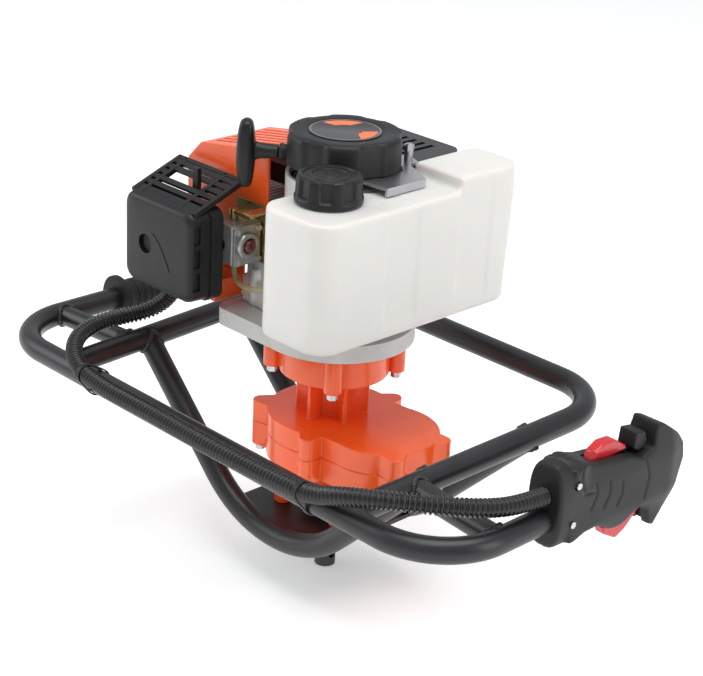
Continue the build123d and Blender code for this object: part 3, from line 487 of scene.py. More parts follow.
def hanging_bolts(name, spots, z, **sizes):
    """Bolts with their heads down, under the face at height z."""
    base = points_mesh("bolts", [on_gearbox(x, y, z - sunk) for x, y in spots])
    return grown(name, bolts, base, zinc, "frame", "zinc_steel", Turn_Over=math.pi, **sizes)


case_bolts = hanging_bolts("gearbox_case_bolts", boss_spots, case_bottom, Head=0.005, Shank_Length=0.030)
hanging_bolts("bell_bolts", ear_spots, bell_floor, Head=0.005, Across=0.0085, Washer=0.0055, Shank_Length=0.040)
hanging_bolts("foot_bolts", foot_spots, plate_bottom, Head=0.004, Across=0.0098, Washer=0.0062, Shank=0.0029,
              Shank_Length=0.02)
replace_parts(case_bolts, "gearbox_bolts")

# ---------------------------------------------------------------- crankcase and crank train
# Bare die-cast aluminium, blasted to an even grey, with the crank, the piston and the clutch inside.
casting = finish("bare die casting", (0.66, 0.655, 0.64), (0.58, 0.575, 0.56), (0.42, 0.58), 0.00010, 700.0, 22.0,
                 Metallic=0.55)
for part, width in (("lower_crankcase", 0.0012), ("upper_crankcase", 0.0010), ("cylinder", 0.0004)):
    softened(part, casting, width)
coat(casting, "piston", "flywheel")
coat(steel, "crankshaft", "main_bearings", "connecting_rod")
lining = finish("clutch lining", (0.08, 0.06, 0.045), (0.12, 0.09, 0.07), (0.7, 0.9), 0.0001, 1200.0)
coat(lining, "clutch_shoes")
ceramic = finish("glazed ceramic", (0.80, 0.80, 0.77), (0.74, 0.73, 0.70), (0.15, 0.25), 0.00001, 900.0)
coat(ceramic, "spark_plug")
softened("spark_plug_boot", rubber, 0.0012)
black_plastic = finish("black moulded plastic", (0.007, 0.007, 0.008), (0.012, 0.012, 0.013), (0.38, 0.52), 0.00004,
                       1500.0, dust_colour=(0.04, 0.04, 0.04), Specular_IOR_Level=0.35)
coat(black_plastic, "ignition_coil")

# ---------------------------------------------------------------- intake: insulator, carburettor, choke
# A zinc die-cast carburettor between a green moulded insulator and the air box. A red rubber primer
# bulb sits in its plate, and a yellow zinc bracket above it carries the cable, spring and lever.
green_insulator = finish("green moulded insulator", (0.012, 0.10, 0.05), (0.016, 0.13, 0.07), (0.5, 0.65), 0.00008)
cast_zinc = finish("die-cast zinc", (0.42, 0.42, 0.41), (0.30, 0.30, 0.29), (0.28, 0.45), 0.00012, 800.0, 60.0,
                   Metallic=0.9)
yellow_zinc = finish("yellow zinc plate", (0.50, 0.36, 0.12), (0.42, 0.33, 0.16), (0.25, 0.4), 0.00003,
                     cloud_scale=40.0, Metallic=1.0)
softened("intake_insulator", green_insulator, 0.0006)
softened("carburettor", cast_zinc, 0.0006)
softened("throttle_bracket", yellow_zinc, 0.0003)
softened("throttle_lever", yellow_zinc, 0.0003)
softened("choke_lever", black_plastic, 0.0008)
carb_x1, carb_y0, carb_y1, carb_mid_z = -60.0, -76.0, -43.0, 320.0
primer_y = (carb_y0 + carb_y1) / 2
primer_rubber = finish("red primer rubber", (0.16, 0.008, 0.010), (0.12, 0.006, 0.008), (0.12, 0.2), 0.00001, 900.0,
                       Transmission_Weight=0.25, Coat_Weight=0.5)
along_x = Matrix.Rotation(math.radians(90.0), 4, "Y")
primer_place = Matrix.Translation(Vector((carb_x1, primer_y, carb_mid_z)) * MM) @ along_x
bulb_rows = [(0.0, 2.0), (6.6, 2.0), (6.6, 5.6), (6.5, 7.0), (5.9, 8.2), (4.6, 9.4), (2.6, 10.2), (0.0, 10.5)]
bulb = placed("primer_bulb_rubber", lathe("primer_bulb_rubber", bulb_rows, primer_place, 40), primer_rubber,
              "primer_bulb", "primer_rubber")
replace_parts(bulb, "primer_bulb")
collar_rows = [(7.0, 3.1), (12.6, 3.1), (12.6, 5.4), (11.6, 6.6), (9.6, 7.2), (8.0, 7.0), (7.0, 6.0), (7.0, 3.1)]
placed("primer_collar", lathe("primer_collar", collar_rows, primer_place, 48), cast_zinc, "frame", "cast_zinc")
screw_spots = [(sz * 14.5, sy * 12.5, 3.05) for sy, sz in ((-1, 1), (1, 1), (1, -1), (-1, -1))]
primer_screws = grown("primer_screws", bolts, points_mesh("primer screws", screw_spots), zinc, "frame", "zinc_steel",
                      Head=0.0016, Across=0.0048, Washer=0.003, Washer_Thickness=0.0005, Shank=0.0012,
                      Shank_Length=0.003)
primer_screws.data.transform(primer_place)

# ---------------------------------------------------------------- air box
# A black moulded box in two halves that clip together. The cover's front is smooth with a round
# snorkel mouth and one sweeping crease, and a louvred hood slopes back from its top edge.


def loop_skin(name, loops):
    """Skins loops of points of equal count, in mm, and closes both ends."""
    shape = bmesh.new()
    rings = [[shape.verts.new(Vector(p) * MM) for p in loop] for loop in loops]
    bridge(shape, rings)
    shape.faces.new(rings[0])
    shape.faces.new(rings[-1])
    mesh = closed_mesh(name, shape)
    smooth_by_angle(mesh, 40.0)
    return mesh


def rounded_loop(a0, a1, b0, b1, radius, steps=8):
    """Corner points of a rectangle with round corners, anticlockwise, as (a, b) pairs."""
    loop = []
    for ca, cb, start in ((a1 - radius, b0 + radius, -90), (a1 - radius, b1 - radius, 0),
                          (a0 + radius, b1 - radius, 90), (a0 + radius, b0 + radius, 180)):
        for k in range(steps + 1):
            angle = math.radians(start + 90 * k / steps)
            loop.append((ca + radius * math.cos(angle), cb + radius * math.sin(angle)))
    return loop


def carved(mesh, cutters):
    """Cuts closed meshes out of a closed mesh."""
    piece = linked("piece", mesh)
    tools = [linked("cutter", cutter) for cutter in cutters]
    for tool in tools:
        cut = piece.modifiers.new("cut", "BOOLEAN")
        cut.operation, cut.solver, cut.object = "DIFFERENCE", "EXACT", tool
    result = evaluated(piece)
    for extra in tools + [piece]:
        bpy.data.objects.remove(extra)
    return result


def box_mesh(name, boxes, turn=None):
    """Closed boxes, each given as x, y and z limits in mm; turn is a matrix laid over them."""
    shape = bmesh.new()
    for x0, x1, y0, y1, z0, z1 in boxes:
        corners = [Vector((x, y, z)) * MM for x in (x0, x1) for y in (y0, y1) for z in (z0, z1)]
        verts = [shape.verts.new(turn @ c if turn else c) for c in corners]
        for f in ((0, 1, 3, 2), (4, 6, 7, 5), (0, 4, 5, 1), (2, 3, 7, 6), (0, 2, 6, 4), (1, 5, 7, 3)):
            shape.faces.new([verts[k] for k in f])
    return closed_mesh(name, shape)


air_low, air_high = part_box("air_filter_cover")
ax0, ax1, ay0, az0 = air_low.x / MM, air_high.x / MM, air_low.y / MM, air_low.z / MM
air_top, air_split_y = 354.0, -88.0
crown = [(0.0, -1.2), (-2.0, -1.2), (-2.0, 0.0), (-10.0, 0.3), (-18.0, 0.6), (-20.6, 1.1), (-22.4, 2.4),
         (-23.5, 4.2), (-23.98, 7.0)]
cover_loops = []
for out, shrink in crown:
    rim = rounded_loop(ax0 + 1.0 + shrink, ax1 - 1.0 - shrink, az0 + 1.0 + shrink, air_top - shrink, 11.0)
    cover_loops.append([(a, air_split_y + out, b) for a, b in rim])
mouth_place = Matrix.Translation(Vector((-137.5, ay0, 309.5)) * MM) @ Matrix.Rotation(math.radians(90.0), 4, "X")
mouth = lathe("mouth", [(0.0, 1.0), (9.2, 1.0), (8.6, -9.0), (0.0, -9.0)], mouth_place, 48)
side_wells = box_mesh("side wells", [(ax1 - 3.4, ax1 + 3.0, -108.0, -101.0, az0 + 14 + 22 * k, az0 + 31 + 22 * k)
                                     for k in range(3)])
moulded = black_plastic, "frame", "black_plastic"
cover_shell = placed("air_cover_shell", carved(loop_skin("air_cover_shell", cover_loops), [mouth, side_wells]),
                     *moulded)
smooth_by_angle(cover_shell.data, 38.0)
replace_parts(cover_shell, "air_filter_cover")
softened("air_filter_base", black_plastic, 0.0010)
foam = finish("filter foam", (0.03, 0.03, 0.03), (0.06, 0.06, 0.055), (0.9, 1.0), 0.0004, 500.0)
coat(foam, "air_filter_element")
sweep_steps = [k / 14 for k in range(15)]
sweep_edge = [(-128.0 + 26.0 * t, 322.0 - 30.0 * t ** 1.6) for t in sweep_steps]
sweep_edge += [(-124.0 + 22.0 * t, 316.0 - 24.0 * t ** 1.2) for t in sweep_steps[::-1]]
sweep = loop_skin("sweep", [[(x, ay0 + out, z) for x, z in sweep_edge] for out in (0.3, -0.5)])
placed("cover_sweep", sweep, *moulded)

louvres, given, made = geometry_tree("louvres", Slat_Length=0.09, Slat_Width=0.006, Slat_Thickness=0.0026, Lean=0.5)
slat_size = node(louvres, "ShaderNodeCombineXYZ", {"X": given.outputs["Slat_Length"], "Y": given.outputs["Slat_Width"],
                                                   "Z": given.outputs["Slat_Thickness"]})
slat = node(louvres, "GeometryNodeMeshCube", {"Size": slat_size.outputs[0]})
lean = node(louvres, "ShaderNodeCombineXYZ", {"X": given.outputs["Lean"]})
slat_row = node(louvres, "GeometryNodeInstanceOnPoints", {
    "Points": given.outputs["Geometry"], "Instance": slat.outputs[0], "Rotation": lean.outputs[0]})
close_tree(louvres, given, made, slat_row.outputs[0])

hood_front, hood_back = Vector((0, -103.0, 353.5)), Vector((0, -51.5, 373.0))
hood_lean = math.atan2(hood_back.z - hood_front.z, hood_back.y - hood_front.y)
hood_x0, hood_x1, choke_gap = ax0 + 5.0, ax1 - 4.0, (-153.0, -98.0)
slat_spots = [hood_front.lerp(hood_back, share) for share in (0.10, 0.26, 0.42, 0.58, 0.74, 0.90)]
for name, short, x0, x1 in (("hood_slats", False, hood_x0, hood_x1), ("hood_slats_left", True, hood_x0, choke_gap[0]),
                            ("hood_slats_right", True, choke_gap[1], hood_x1)):
    middles = [Vector(((x0 + x1) / 2, spot.y, spot.z)) for spot in slat_spots if (-78.0 < spot.y < -67.0) == short]
    grown(name, louvres, points_mesh("slats", middles), *moulded,
          Slat_Length=(x1 - x0) * MM, Slat_Width=0.0058, Slat_Thickness=0.0028, Lean=hood_lean)
slope = (hood_back - hood_front).length
hood_place = Matrix.Translation(hood_front * MM) @ Matrix.Rotation(hood_lean, 4, "X")
rails = [(x - 2.2, x + 2.2, -2.0, slope + 2.0, -3.2, 1.9) for x in (hood_x0 + 1.5, *choke_gap, hood_x1 - 1.5)]
rails += [(hood_x0, hood_x1, -3.0, 3.0, -3.4, 1.4), (hood_x0, hood_x1, slope - 2.0, slope + 2.5, -3.2, 1.9)]
hood = placed("hood_frame", box_mesh("hood_frame", rails, hood_place), *moulded)
edges = hood.modifiers.new("rounded edges", "BEVEL")
edges.width, edges.segments = 0.0006, 2

# ---------------------------------------------------------------- shroud and muffler guard
# Orange gloss plastic ducts the fan's air over the fins, with cooling slots in its roof. The muffler
# sits behind, under a ribbed sheet steel guard dipped in the frame's black.
orange_plastic = finish("orange gloss plastic", (0.92, 0.115, 0.014), (0.86, 0.095, 0.012), (0.22, 0.32), 0.00004,
                        500.0, Coat_Weight=0.2)
softened("engine_shroud", orange_plastic, 0.0010)
softened("muffler", dark_steel, 0.0008)
softened("muffler_cover", powder_coat, 0.0010)

# ---------------------------------------------------------------- fuel tank and cap
# A blow-moulded tank of milky white polyethylene: soft corners, shallow steps down its outer wall and
# a raised back. The black cap is fluted for a gloved hand.


def prism(shape, loop, z0, z1):
    """Adds a closed prism on a loop of (x, y) points, in mm, to a bmesh."""
    low = [shape.verts.new(Vector((x, y, z0)) * MM) for x, y in loop]
    high = [shape.verts.new(Vector((x, y, z1)) * MM) for x, y in loop]
    shape.faces.new(low[::-1])
    shape.faces.new(high)
    bridge(shape, [low, high])


def fused(name, shape, voxel, passes):
    """Fuses overlapping closed shapes into one skin and rounds its edges."""
    piece = linked(name, closed_mesh(name, shape))
    fuse = piece.modifiers.new("fuse", "REMESH")
    fuse.mode, fuse.voxel_size = "VOXEL", voxel
    soften = piece.modifiers.new("soften", "SMOOTH")
    soften.factor, soften.iterations = 0.5, passes
    result = evaluated(piece)
    bpy.data.objects.remove(piece)
    result.shade_smooth()
    return result


def arc(cx, cy, radius, start, stop, steps=10):
    """Points on an arc between two angles in degrees."""
    angles = [math.radians(start + (stop - start) * k / steps) for k in range(steps + 1)]
    return [(cx + radius * math.cos(a), cy + radius * math.sin(a)) for a in angles]


def ramp(value, low, high):
    """Goes softly from 0 at low to 1 at high."""
    share = min(max((value - low) / (high - low), 0.0), 1.0)
    return share * share * (3 - 2 * share)


tank_low, tank_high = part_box("fuel_tank")
tx0, ty0, tz0 = (v / MM for v in tank_low)
tx1, ty1 = tank_high.x / MM, tank_high.y / MM
tank_shoulder, hump_top, hump_y, rear_x, engine_r, tank_r, rear_r = 393.0, 405.0, 46.0, 40.0, 57.0, 22, 12
plan = arc(tx0 + tank_r, ty0 + tank_r, tank_r, 180, 270) + arc(tx1 - tank_r, ty0 + tank_r, tank_r, 270, 360)
plan += arc(tx1 - tank_r, ty1 - tank_r, tank_r, 0, 90) + arc(rear_x + rear_r, ty1 - rear_r, rear_r, 90, 180, 6)
meets = math.degrees(math.acos(rear_x / engine_r)), -math.degrees(math.acos(tx0 / engine_r))
plan += arc(0, 0, engine_r, meets[0], meets[1], 24)
body = bmesh.new()
prism(body, plan, tz0 + 0.4, tank_shoulder)
hump = [(rear_x + 0.5, hump_y), (tx1 - 0.5, hump_y)] + arc(tx1 - tank_r - 0.5, ty1 - tank_r - 0.5, tank_r, 0, 90)
hump += arc(rear_x + rear_r + 0.5, ty1 - rear_r - 0.5, rear_r, 90, 180, 6)
prism(body, hump, tz0 + 20, hump_top)
tank_mesh = fused("fuel_tank_skin", body, 0.0021, 14)
for v in tank_mesh.vertices:
    x, y, z = (c / MM for c in v.co)
    outer = ramp(x, tx1 - 30, tx1 - 6) * ramp(z, tz0 + 4, tz0 + 22)
    press = 0.0
    for low, high in ((-45.0, -6.0), (44.0, 86.0)):
        press = max(press, ramp(y, low - 2.5, low + 2.5) * (1 - ramp(y, high - 2.5, high + 2.5)))
    v.co.x -= 1.5 * press * outer * MM
    v.co.y -= 5.0 * ramp(y, 60.0, ty1) * (1 - ramp(z, tz0, tank_shoulder)) * MM
    rim = ramp(z, tank_shoulder - 8, tank_shoulder) * ramp(x, tx1 - 34, tx1 - 20) * (1 - ramp(y, 30, hump_y))
    v.co.z -= press * rim * MM
web = bmesh.new()
prism(web, [(-82, -43), (-30, -50), (-30, -10), (-82, -10)], 256.2, 282.0)
prism(web, [(-78, -41), (-34, -45), (-34, -12), (-78, -12)], 270.0, 300.0)
prism(web, arc(-64, -38, 9.0, 0, 345, 23), 256.2, 292.0)
placed("crankcase_web", fused("crankcase_web", web, 0.0012, 8), casting, "frame", "cast_aluminium")
milky = finish("milky polyethylene", (0.72, 0.71, 0.68), (0.69, 0.68, 0.645), (0.34, 0.46), 0.00006, 380.0, 6.0,
               Subsurface_Weight=0.35, Subsurface_Scale=0.012)
tank = placed("fuel_tank_skin", tank_mesh, milky, "frame", "tank_plastic")
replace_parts(tank, "fuel_tank")

cap_x, cap_y, cap_z0, cap_z1, cap_r = 52.0, -67.0, 394.5, 418.0, 29.5
neck_rows = [(0.0, 390.0), (22.8, 390.0), (22.8, 404.8), (19.5, 404.8), (19.5, 391.0), (0.0, 391.0)]
cap_place = Matrix.Translation(Vector((cap_x, cap_y, 0.0)) * MM)
placed("tank_neck", lathe("tank_neck", neck_rows, cap_place, 64), milky, "frame", "tank_plastic")
cap_rows = [(0.0, 412.0), (23.5, 412.0), (23.5, cap_z0), (cap_r - 0.6, cap_z0), (cap_r, cap_z0 + 0.8),
            (cap_r, cap_z0 + 4.0), (cap_r - 0.3, cap_z0 + 5.2, 0.6), (cap_r - 0.8, cap_z0 + 6.6, 2.6),
            (cap_r - 1.2, cap_z1 - 4.0, 2.8), (cap_r - 1.5, cap_z1 - 2.2, 2.2), (cap_r - 2.4, cap_z1 - 0.7, 0.8),
            (cap_r - 4.2, cap_z1), (22.6, cap_z1), (22.0, cap_z1 - 1.0), (18.4, cap_z1 - 1.0), (17.8, cap_z1 - 0.3),
            (15.2, cap_z1 - 0.3), (14.6, cap_z1 - 1.1), (9.4, cap_z1 - 1.1), (8.8, cap_z1 - 0.5),
            (4.6, cap_z1 - 0.5), (4.0, cap_z1 - 1.2), (0.0, cap_z1 - 1.2)]


def cap_flutes(angle):
    """Depth of the eight flutes round the cap."""
    return ramp(math.cos(8 * angle + 0.6), -0.25, 0.35)


cap_black = finish("black cap plastic", (0.006, 0.006, 0.007), (0.010, 0.010, 0.011), (0.30, 0.42), 0.00004, 1300.0,
                    Specular_IOR_Level=0.35)
cap = placed("fuel_cap_moulding", lathe("fuel_cap_moulding", cap_rows, cap_place, 192, cap_flutes), cap_black,
             "fuel_cap", "black_plastic")
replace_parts(cap, "fuel_cap")
coat(rubber, "cap_gasket")
hose = finish("fuel hose", (0.30, 0.26, 0.13), (0.26, 0.22, 0.11), (0.25, 0.35), 0.00003)
coat(hose, "fuel_line")
softened("tank_bracket", zinc, 0.0004)
softened("bracket_stud", zinc, 0.0003)

# ---------------------------------------------------------------- recoil starter
# A black moulded cover with six soft lobes stands on legs over the fan. A round plate on its top has
# two orange patches and no lettering. The rope leaves at the left, into a T-shaped pull handle.


def starter_lobes(angle):
    """Depth of the hollows between the six lobes of the cover."""
    return 1 - ramp(math.cos(6 * (angle - math.radians(15.0))), -0.75, 0.15)


starter_rows = [(0.0, 428.0), (45.9, 428.0), (45.9, 402.0), (51.6, 402.0, 3.0), (51.9, 403.0, 3.0),
                (51.9, 425.5, 3.0), (51.6, 427.6, 3.0), (50.6, 429.4, 2.9), (48.8, 430.6, 2.8), (46.4, 431.0, 2.6),
                (36.0, 431.0), (34.6, 430.2), (33.0, 430.2), (0.0, 430.2)]
starter = placed("starter_cover", lathe("starter_cover", starter_rows, Matrix.Identity(4), 192, starter_lobes),
                 *moulded)
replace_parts(starter, "starter_housing")
plate_rows = [(0.0, 430.3), (31.6, 430.3), (32.0, 430.5), (32.0, 430.95), (31.4, 431.2), (30.2, 431.2),
              (29.8, 430.9), (0.0, 430.9)]
label_black = finish("satin label", (0.035, 0.035, 0.038), (0.045, 0.045, 0.048), (0.25, 0.35), 0.00001)
placed("starter_plate", lathe("starter_plate", plate_rows, Matrix.Identity(4), 96), label_black, "frame",
       "black_plastic")
rim_rows = [(30.4, 431.0), (31.2, 431.0), (31.2, 431.35), (30.4, 431.35), (30.4, 431.0)]
placed("plate_rim", lathe("plate_rim", rim_rows, Matrix.Identity(4), 96), zinc, "frame", "zinc_steel")
patches = bmesh.new()
for start, stop in ((104.0, 180.0), (-16.0, 44.0)):
    outer = arc(0, 0, 28.6, start, stop, 18)
    inner = arc(0, 0, 15.5, stop - 10.0, start + 16.0, 18)
    prism(patches, outer + inner, 430.85, 431.02)
label_orange = finish("orange label", (0.85, 0.17, 0.045), (0.80, 0.15, 0.04), (0.3, 0.4), 0.00001)
placed("starter_patches", closed_mesh("starter_patches", patches), label_orange, "frame", "orange_plastic")
legs, leg_reach, leg_r = bmesh.new(), 48.5, 4.5
for a in (30, 100, 190, 280):
    x, y = leg_reach * math.cos(math.radians(a)), leg_reach * math.sin(math.radians(a))
    prism(legs, arc(x, y, leg_r, 0, 345, 23), 392.1, 404.0)
leg_mesh = closed_mesh("starter_legs", legs)
smooth_by_angle(leg_mesh, 40.0)
placed("starter_legs", leg_mesh, *moulded)
coat(black_plastic, "starter_pulley")
coat(steel, "starter_spring")

pull_angle, rope_z, outlet_r, handle_reach = math.radians(-135.8), 408.0, 57.0, 86.0
pull_way = Vector((math.cos(pull_angle), math.sin(pull_angle), 0.0))
pull_across = Vector((-math.sin(pull_angle), math.cos(pull_angle), 0.0))
spout = Matrix.Translation(Vector((0, 0, rope_z)) * MM) @ Matrix.Rotation(pull_angle, 4, "Z") @ along_x
spout_rows = [(2.4, 44.0), (7.0, 44.0), (7.0, 52.0), (7.6, 54.0), (7.6, 56.0), (6.8, outlet_r), (3.4, outlet_r),
              (2.4, outlet_r - 1.2), (2.4, 44.0)]
placed("rope_spout", lathe("rope_spout", spout_rows, spout, 40), *moulded)
handle = bmesh.new()
bar_low, bar_high, bar_steps, stem_steps, round_steps = 374.4, 436.6, 24, 12, 32
loops, stem = [], []
for k in range(bar_steps + 1):
    share = -1 + 2 * k / bar_steps
    z = bar_low + (bar_high - bar_low) * (k / bar_steps)
    end = math.sqrt(max(1 - abs(share) ** 14, 0.0)) * 0.6 + 0.4
    outer, inner = 8.8 - 3.6 * share ** 2, -8.2 + 2.6 * share ** 2
    half = 11.2 - 3.2 * share ** 2
    middle, reach = (outer + inner) / 2, (outer - inner) / 2
    loop = []
    for m in range(round_steps):
        a = 2 * math.pi * m / round_steps
        c, s = math.cos(a), math.sin(a)
        c, s = math.copysign(abs(c) ** 0.7, c), math.copysign(abs(s) ** 0.7, s)
        place = pull_way * (handle_reach + middle + reach * end * c) + pull_across * (half * end * s)
        place += Vector((0, 0, z))
        loop.append(handle.verts.new(place * MM))
    loops.append(loop)
for k in range(stem_steps + 1):
    reach = outlet_r + 0.5 + (handle_reach - 1.0 - outlet_r) * k / stem_steps
    flare = 1.0 + 0.75 * (k / stem_steps) ** 3
    loop = []
    for m in range(round_steps):
        a = 2 * math.pi * m / round_steps
        place = pull_way * reach + pull_across * (6.6 * math.cos(a))
        place += Vector((0, 0, rope_z + 6.4 * flare * math.sin(a)))
        loop.append(handle.verts.new(place * MM))
    stem.append(loop)
for rings in (loops, stem):
    bridge(handle, rings)
    handle.faces.new(rings[0][::-1])
    handle.faces.new(rings[-1])
pull_handle = placed("pull_handle", fused("pull_handle", handle, 0.0009, 5), cap_black, "starter_handle",
                     "black_plastic")
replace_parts(pull_handle, "starter_handle")
rope_fibre = finish("braided rope", (0.03, 0.03, 0.03), (0.08, 0.08, 0.08), (0.8, 0.9), 0.0003)
rope_in, rope_length, rope_r, rope_steps = 30.3, 46.7, 1.8, 47
rope_rows = [(rope_r, rope_in + rope_length * k / rope_steps) for k in range(rope_steps + 1)]
rope_rows = [(0.0, rope_in)] + rope_rows + [(0.0, rope_in + rope_length)]
rope = linked("pull_rope", lathe("pull_rope", rope_rows, spout, 12))
rope.data.materials.append(rope_fibre)
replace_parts(rope, "starter_rope")
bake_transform(rope)

# ---------------------------------------------------------------- throttle handle
# Two black glass-filled nylon shells screwed round the right arm, with a tall collar in front and a
# hooked end that guards the hand. The trigger and the lockout lever are gloss red.
throttle_half = 18.0
outline = [(-31, 166), (-30, 232), (-14, 233), (4, 227), (44, 221), (62, 215), (76, 219), (81, 240), (90, 237),
           (112, 222), (121, 211), (124, 195), (115, 172), (103, 154), (91, 140), (84, 143), (80, 158), (74, 165),
           (66, 168), (57, 165), (48, 158), (38, 156), (28, 158), (19, 163), (10, 168), (3, 170), (-12, 169),
           (-24, 166)]
grip = bmesh.new()


def slab(shape, points, x0, x1):
    """Adds a closed slab on (y, z) points between two x planes, in mm, to a bmesh."""
    low = [shape.verts.new(Vector((x0, y, z)) * MM) for y, z in points]
    high = [shape.verts.new(Vector((x1, y, z)) * MM) for y, z in points]
    shape.faces.new(low)
    shape.faces.new(high[::-1])
    bridge(shape, [low, high])


slab(grip, outline, arm_x - throttle_half, arm_x + throttle_half)
collar_loops, collar_steps, collar_z = [], 40, 200.0
for y, half_x, half_z in ((-45.8, 17.0, 35.0), (-44.0, 18.0, 38.5), (-33.0, 18.2, 39.2), (-28.0, 18.0, 36.0),
                          (-20.0, 17.4, 33.0)):
    loop = []
    for k in range(collar_steps):
        a = 2 * math.pi * k / collar_steps
        c, s = math.cos(a), math.sin(a)
        reach = (abs(c) ** 3 + abs(s) ** 3) ** (-1 / 3)
        spot = Vector((arm_x + half_x * c * reach, y, collar_z + half_z * s * reach * 0.98))
        loop.append(grip.verts.new(spot * MM))
    collar_loops.append(loop)
bridge(grip, collar_loops)
grip.faces.new(collar_loops[0])
grip.faces.new(collar_loops[-1][::-1])
throttle_mesh = fused("throttle", grip, 0.0013, 16)
grooves = [((-2, 213), (0, 202), (-6, 190)), ((16, 208), (17, 197), (11, 186)), ((33, 203), (34, 191), (28, 182)),
           ((-21, 234), (-22, 222), (-16, 207), (-2, 205)), ((50, 226), (64, 212), (70, 196), (66, 176))]


def away_from(y, z, line):
    """Distance in mm from a point to a line of (y, z) corners."""
    best = 1e9
    for (y0, z0), (y1, z1) in zip(line, line[1:]):
        length = (y1 - y0) ** 2 + (z1 - z0) ** 2
        share = min(max(((y - y0) * (y1 - y0) + (z - z0) * (z1 - z0)) / length, 0.0), 1.0)
        best = min(best, math.hypot(y - y0 - share * (y1 - y0), z - z0 - share * (z1 - z0)))
    return best


for v in throttle_mesh.vertices:
    x, y, z = (c / MM for c in v.co)
    side = 1.0 if x > arm_x else -1.0
    face = ramp(abs(x - arm_x), 8.0, 14.0)
    cut = max(1 - ramp(away_from(y, z, line), 0.5, 1.8) for line in grooves)
    well = 1 - ramp(math.hypot(y + 26, z - 218), 3.2, 4.4) if x > arm_x else 0.0
    slim = ramp(y, -22, -6) * (0.24 * ramp(z, 204, 240) + 0.26 * (1 - ramp(z, 150, 176)) + 0.22 * ramp(y, 98, 124))
    v.co.x = (arm_x + (x - arm_x) * (1 - slim) - side * (1.1 * cut + 3.0 * well) * face) * MM
    seam = 1 - ramp(abs(x - arm_x), 0.4, 1.5)
    v.co.z -= 0.5 * seam * (1 if z > 190 else -1) * MM
slots = box_mesh("slots", [(arm_x - 5.6, arm_x + 5.6, 23.0, 92.0, 130.0, 178.0),
                           (arm_x - 6.2, arm_x + 6.2, 1.5, 53.0, 212.0, 250.0),
                           (arm_x - 2.6, arm_x + 2.6, 56.0, 70.0, 205.0, 226.0)])
throttle_mesh = carved(throttle_mesh, [slots])
throttle_shape = bmesh.new()
throttle_shape.from_mesh(throttle_mesh)
nylon = finish("black glass-filled nylon", (0.008, 0.008, 0.009), (0.013, 0.013, 0.014), (0.42, 0.55), 0.00007, 1100.0,
               dust_colour=(0.06, 0.06, 0.06), Specular_IOR_Level=0.35)
shell_gap = 0.00002
for name, node_name, keep in (("throttle_shell_inner", "throttle_inner_shell", 1),
                              ("throttle_shell_outer", "throttle_outer_shell", -1)):
    half = throttle_shape.copy()
    bmesh.ops.bisect_plane(half, geom=half.verts[:] + half.edges[:] + half.faces[:],
                           plane_co=(arm_x * MM - keep * shell_gap, 0, 0), plane_no=(keep, 0, 0), clear_outer=True)
    bmesh.ops.edgeloop_fill(half, edges=[e for e in half.edges if e.is_boundary])
    mesh = closed_mesh(name, half)
    smooth_by_angle(mesh, 50.0)
    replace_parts(placed(name, mesh, nylon, "frame", "black_plastic"), node_name)
throttle_shape.free()
red_plastic = finish("red gloss plastic", (0.60, 0.012, 0.020), (0.54, 0.010, 0.016), (0.22, 0.3), 0.00003,
                     Coat_Weight=0.3)
softened("throttle_trigger", red_plastic, 0.0012, 3)
softened("lockout_lever", red_plastic, 0.0018, 3)
softened("stop_switch", black_plastic, 0.0012, 3)
softened("throttle_screws", zinc, 0.0004)

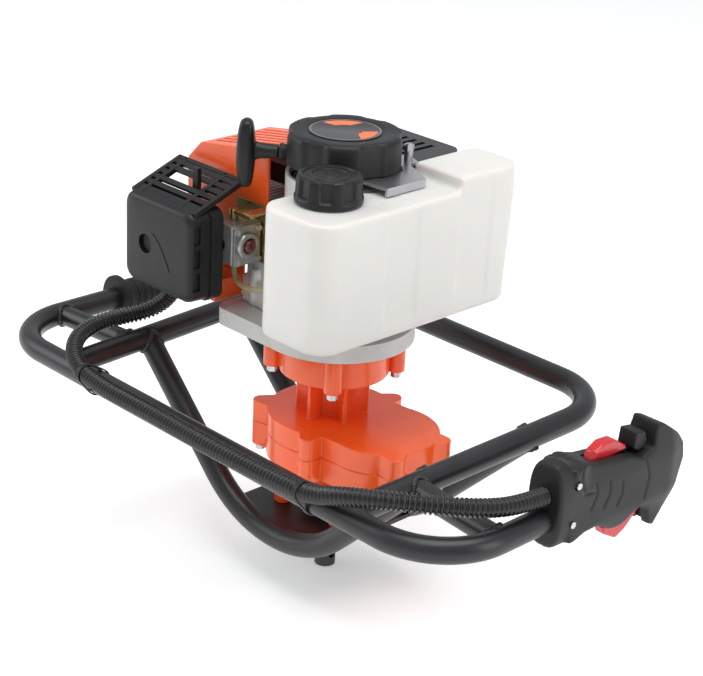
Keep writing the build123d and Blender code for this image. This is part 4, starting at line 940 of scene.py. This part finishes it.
# ---------------------------------------------------------------- throttle conduit and ties
# Corrugated polyethylene conduit guards the throttle cable and the stop wires from the engine, along
# the front bar, to the handle. Two nylon ties hold it, so it can't move.
route = [(-112, -58, 300), (-138, -57, 286), (-160, -52, 260), (-176, -50, 230), (-194, -64, 212),
         (-205, -92, 210), (-206, -124, 209), (-191, -154, 206), (-158, -176, 199), (-112, -181.6, 196.5),
         (-44, -181.0, 197.0), (40, -182.2, 196.4), (112, -181.0, 197.2), (160, -180, 199.5),
         (196, -176, 212), (236, -160, 219), (266, -134, 218), (283, -104, 213), (291, -74, 209.5), (292, -41, 208)]
line = bpy.data.curves.new("conduit line", "CURVE")
line.dimensions = "3D"
spline = line.splines.new("NURBS")
spline.points.add(len(route) - 1)
for point, place in zip(spline.points, route):
    point.co = (*(Vector(place) * MM), 1.0)
spline.order_u = 3
spline.use_endpoint_u = True
spline.resolution_u = 16
carrier = linked("conduit line", line)
line_mesh = evaluated(carrier)
bpy.data.objects.remove(carrier)

corrugation, given, made = geometry_tree("corrugated conduit", Radius=0.0071, Wave_Height=0.13, Wave_Length=0.0040,
                                         Sample_Step=0.0006)
run = node(corrugation, "GeometryNodeMeshToCurve", {"Mesh": given.outputs["Geometry"]})
even = node(corrugation, "GeometryNodeResampleCurve", {
    "Curve": run.outputs[0], "Length": given.outputs["Sample_Step"]}, mode="LENGTH")
along = corrugation.nodes.new("GeometryNodeSplineParameter")
waves = worked(corrugation, "DIVIDE", along.outputs["Length"], given.outputs["Wave_Length"])
sine = worked(corrugation, "SINE", worked(corrugation, "MULTIPLY", waves, 2 * math.pi))
steepness = 2.2
flat_top = worked(corrugation, "TANH", worked(corrugation, "MULTIPLY", sine, steepness))
swell = worked(corrugation, "MULTIPLY_ADD", flat_top, given.outputs["Wave_Height"], 1.0)
size = worked(corrugation, "MULTIPLY", swell, given.outputs["Radius"])
sized = node(corrugation, "GeometryNodeSetCurveRadius", {"Curve": even.outputs[0], "Radius": size})
section = node(corrugation, "GeometryNodeCurvePrimitiveCircle", {"Resolution": 20, "Radius": 1.0})
tube = node(corrugation, "GeometryNodeCurveToMesh", {
    "Curve": sized.outputs[0], "Profile Curve": section.outputs[0], "Scale": size, "Fill Caps": True})
close_tree(corrugation, given, made, tube.outputs[0])
conduit_black = finish("black polyethylene", (0.008, 0.008, 0.009), (0.013, 0.013, 0.014), (0.22, 0.32), 0.00002,
                       1500.0)
conduit = grown("conduit_corrugated", corrugation, line_mesh, conduit_black, "frame", "conduit_plastic", 70.0)
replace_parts(conduit, "throttle_conduit")
softened("cable_ties", black_plastic, 0.0003)
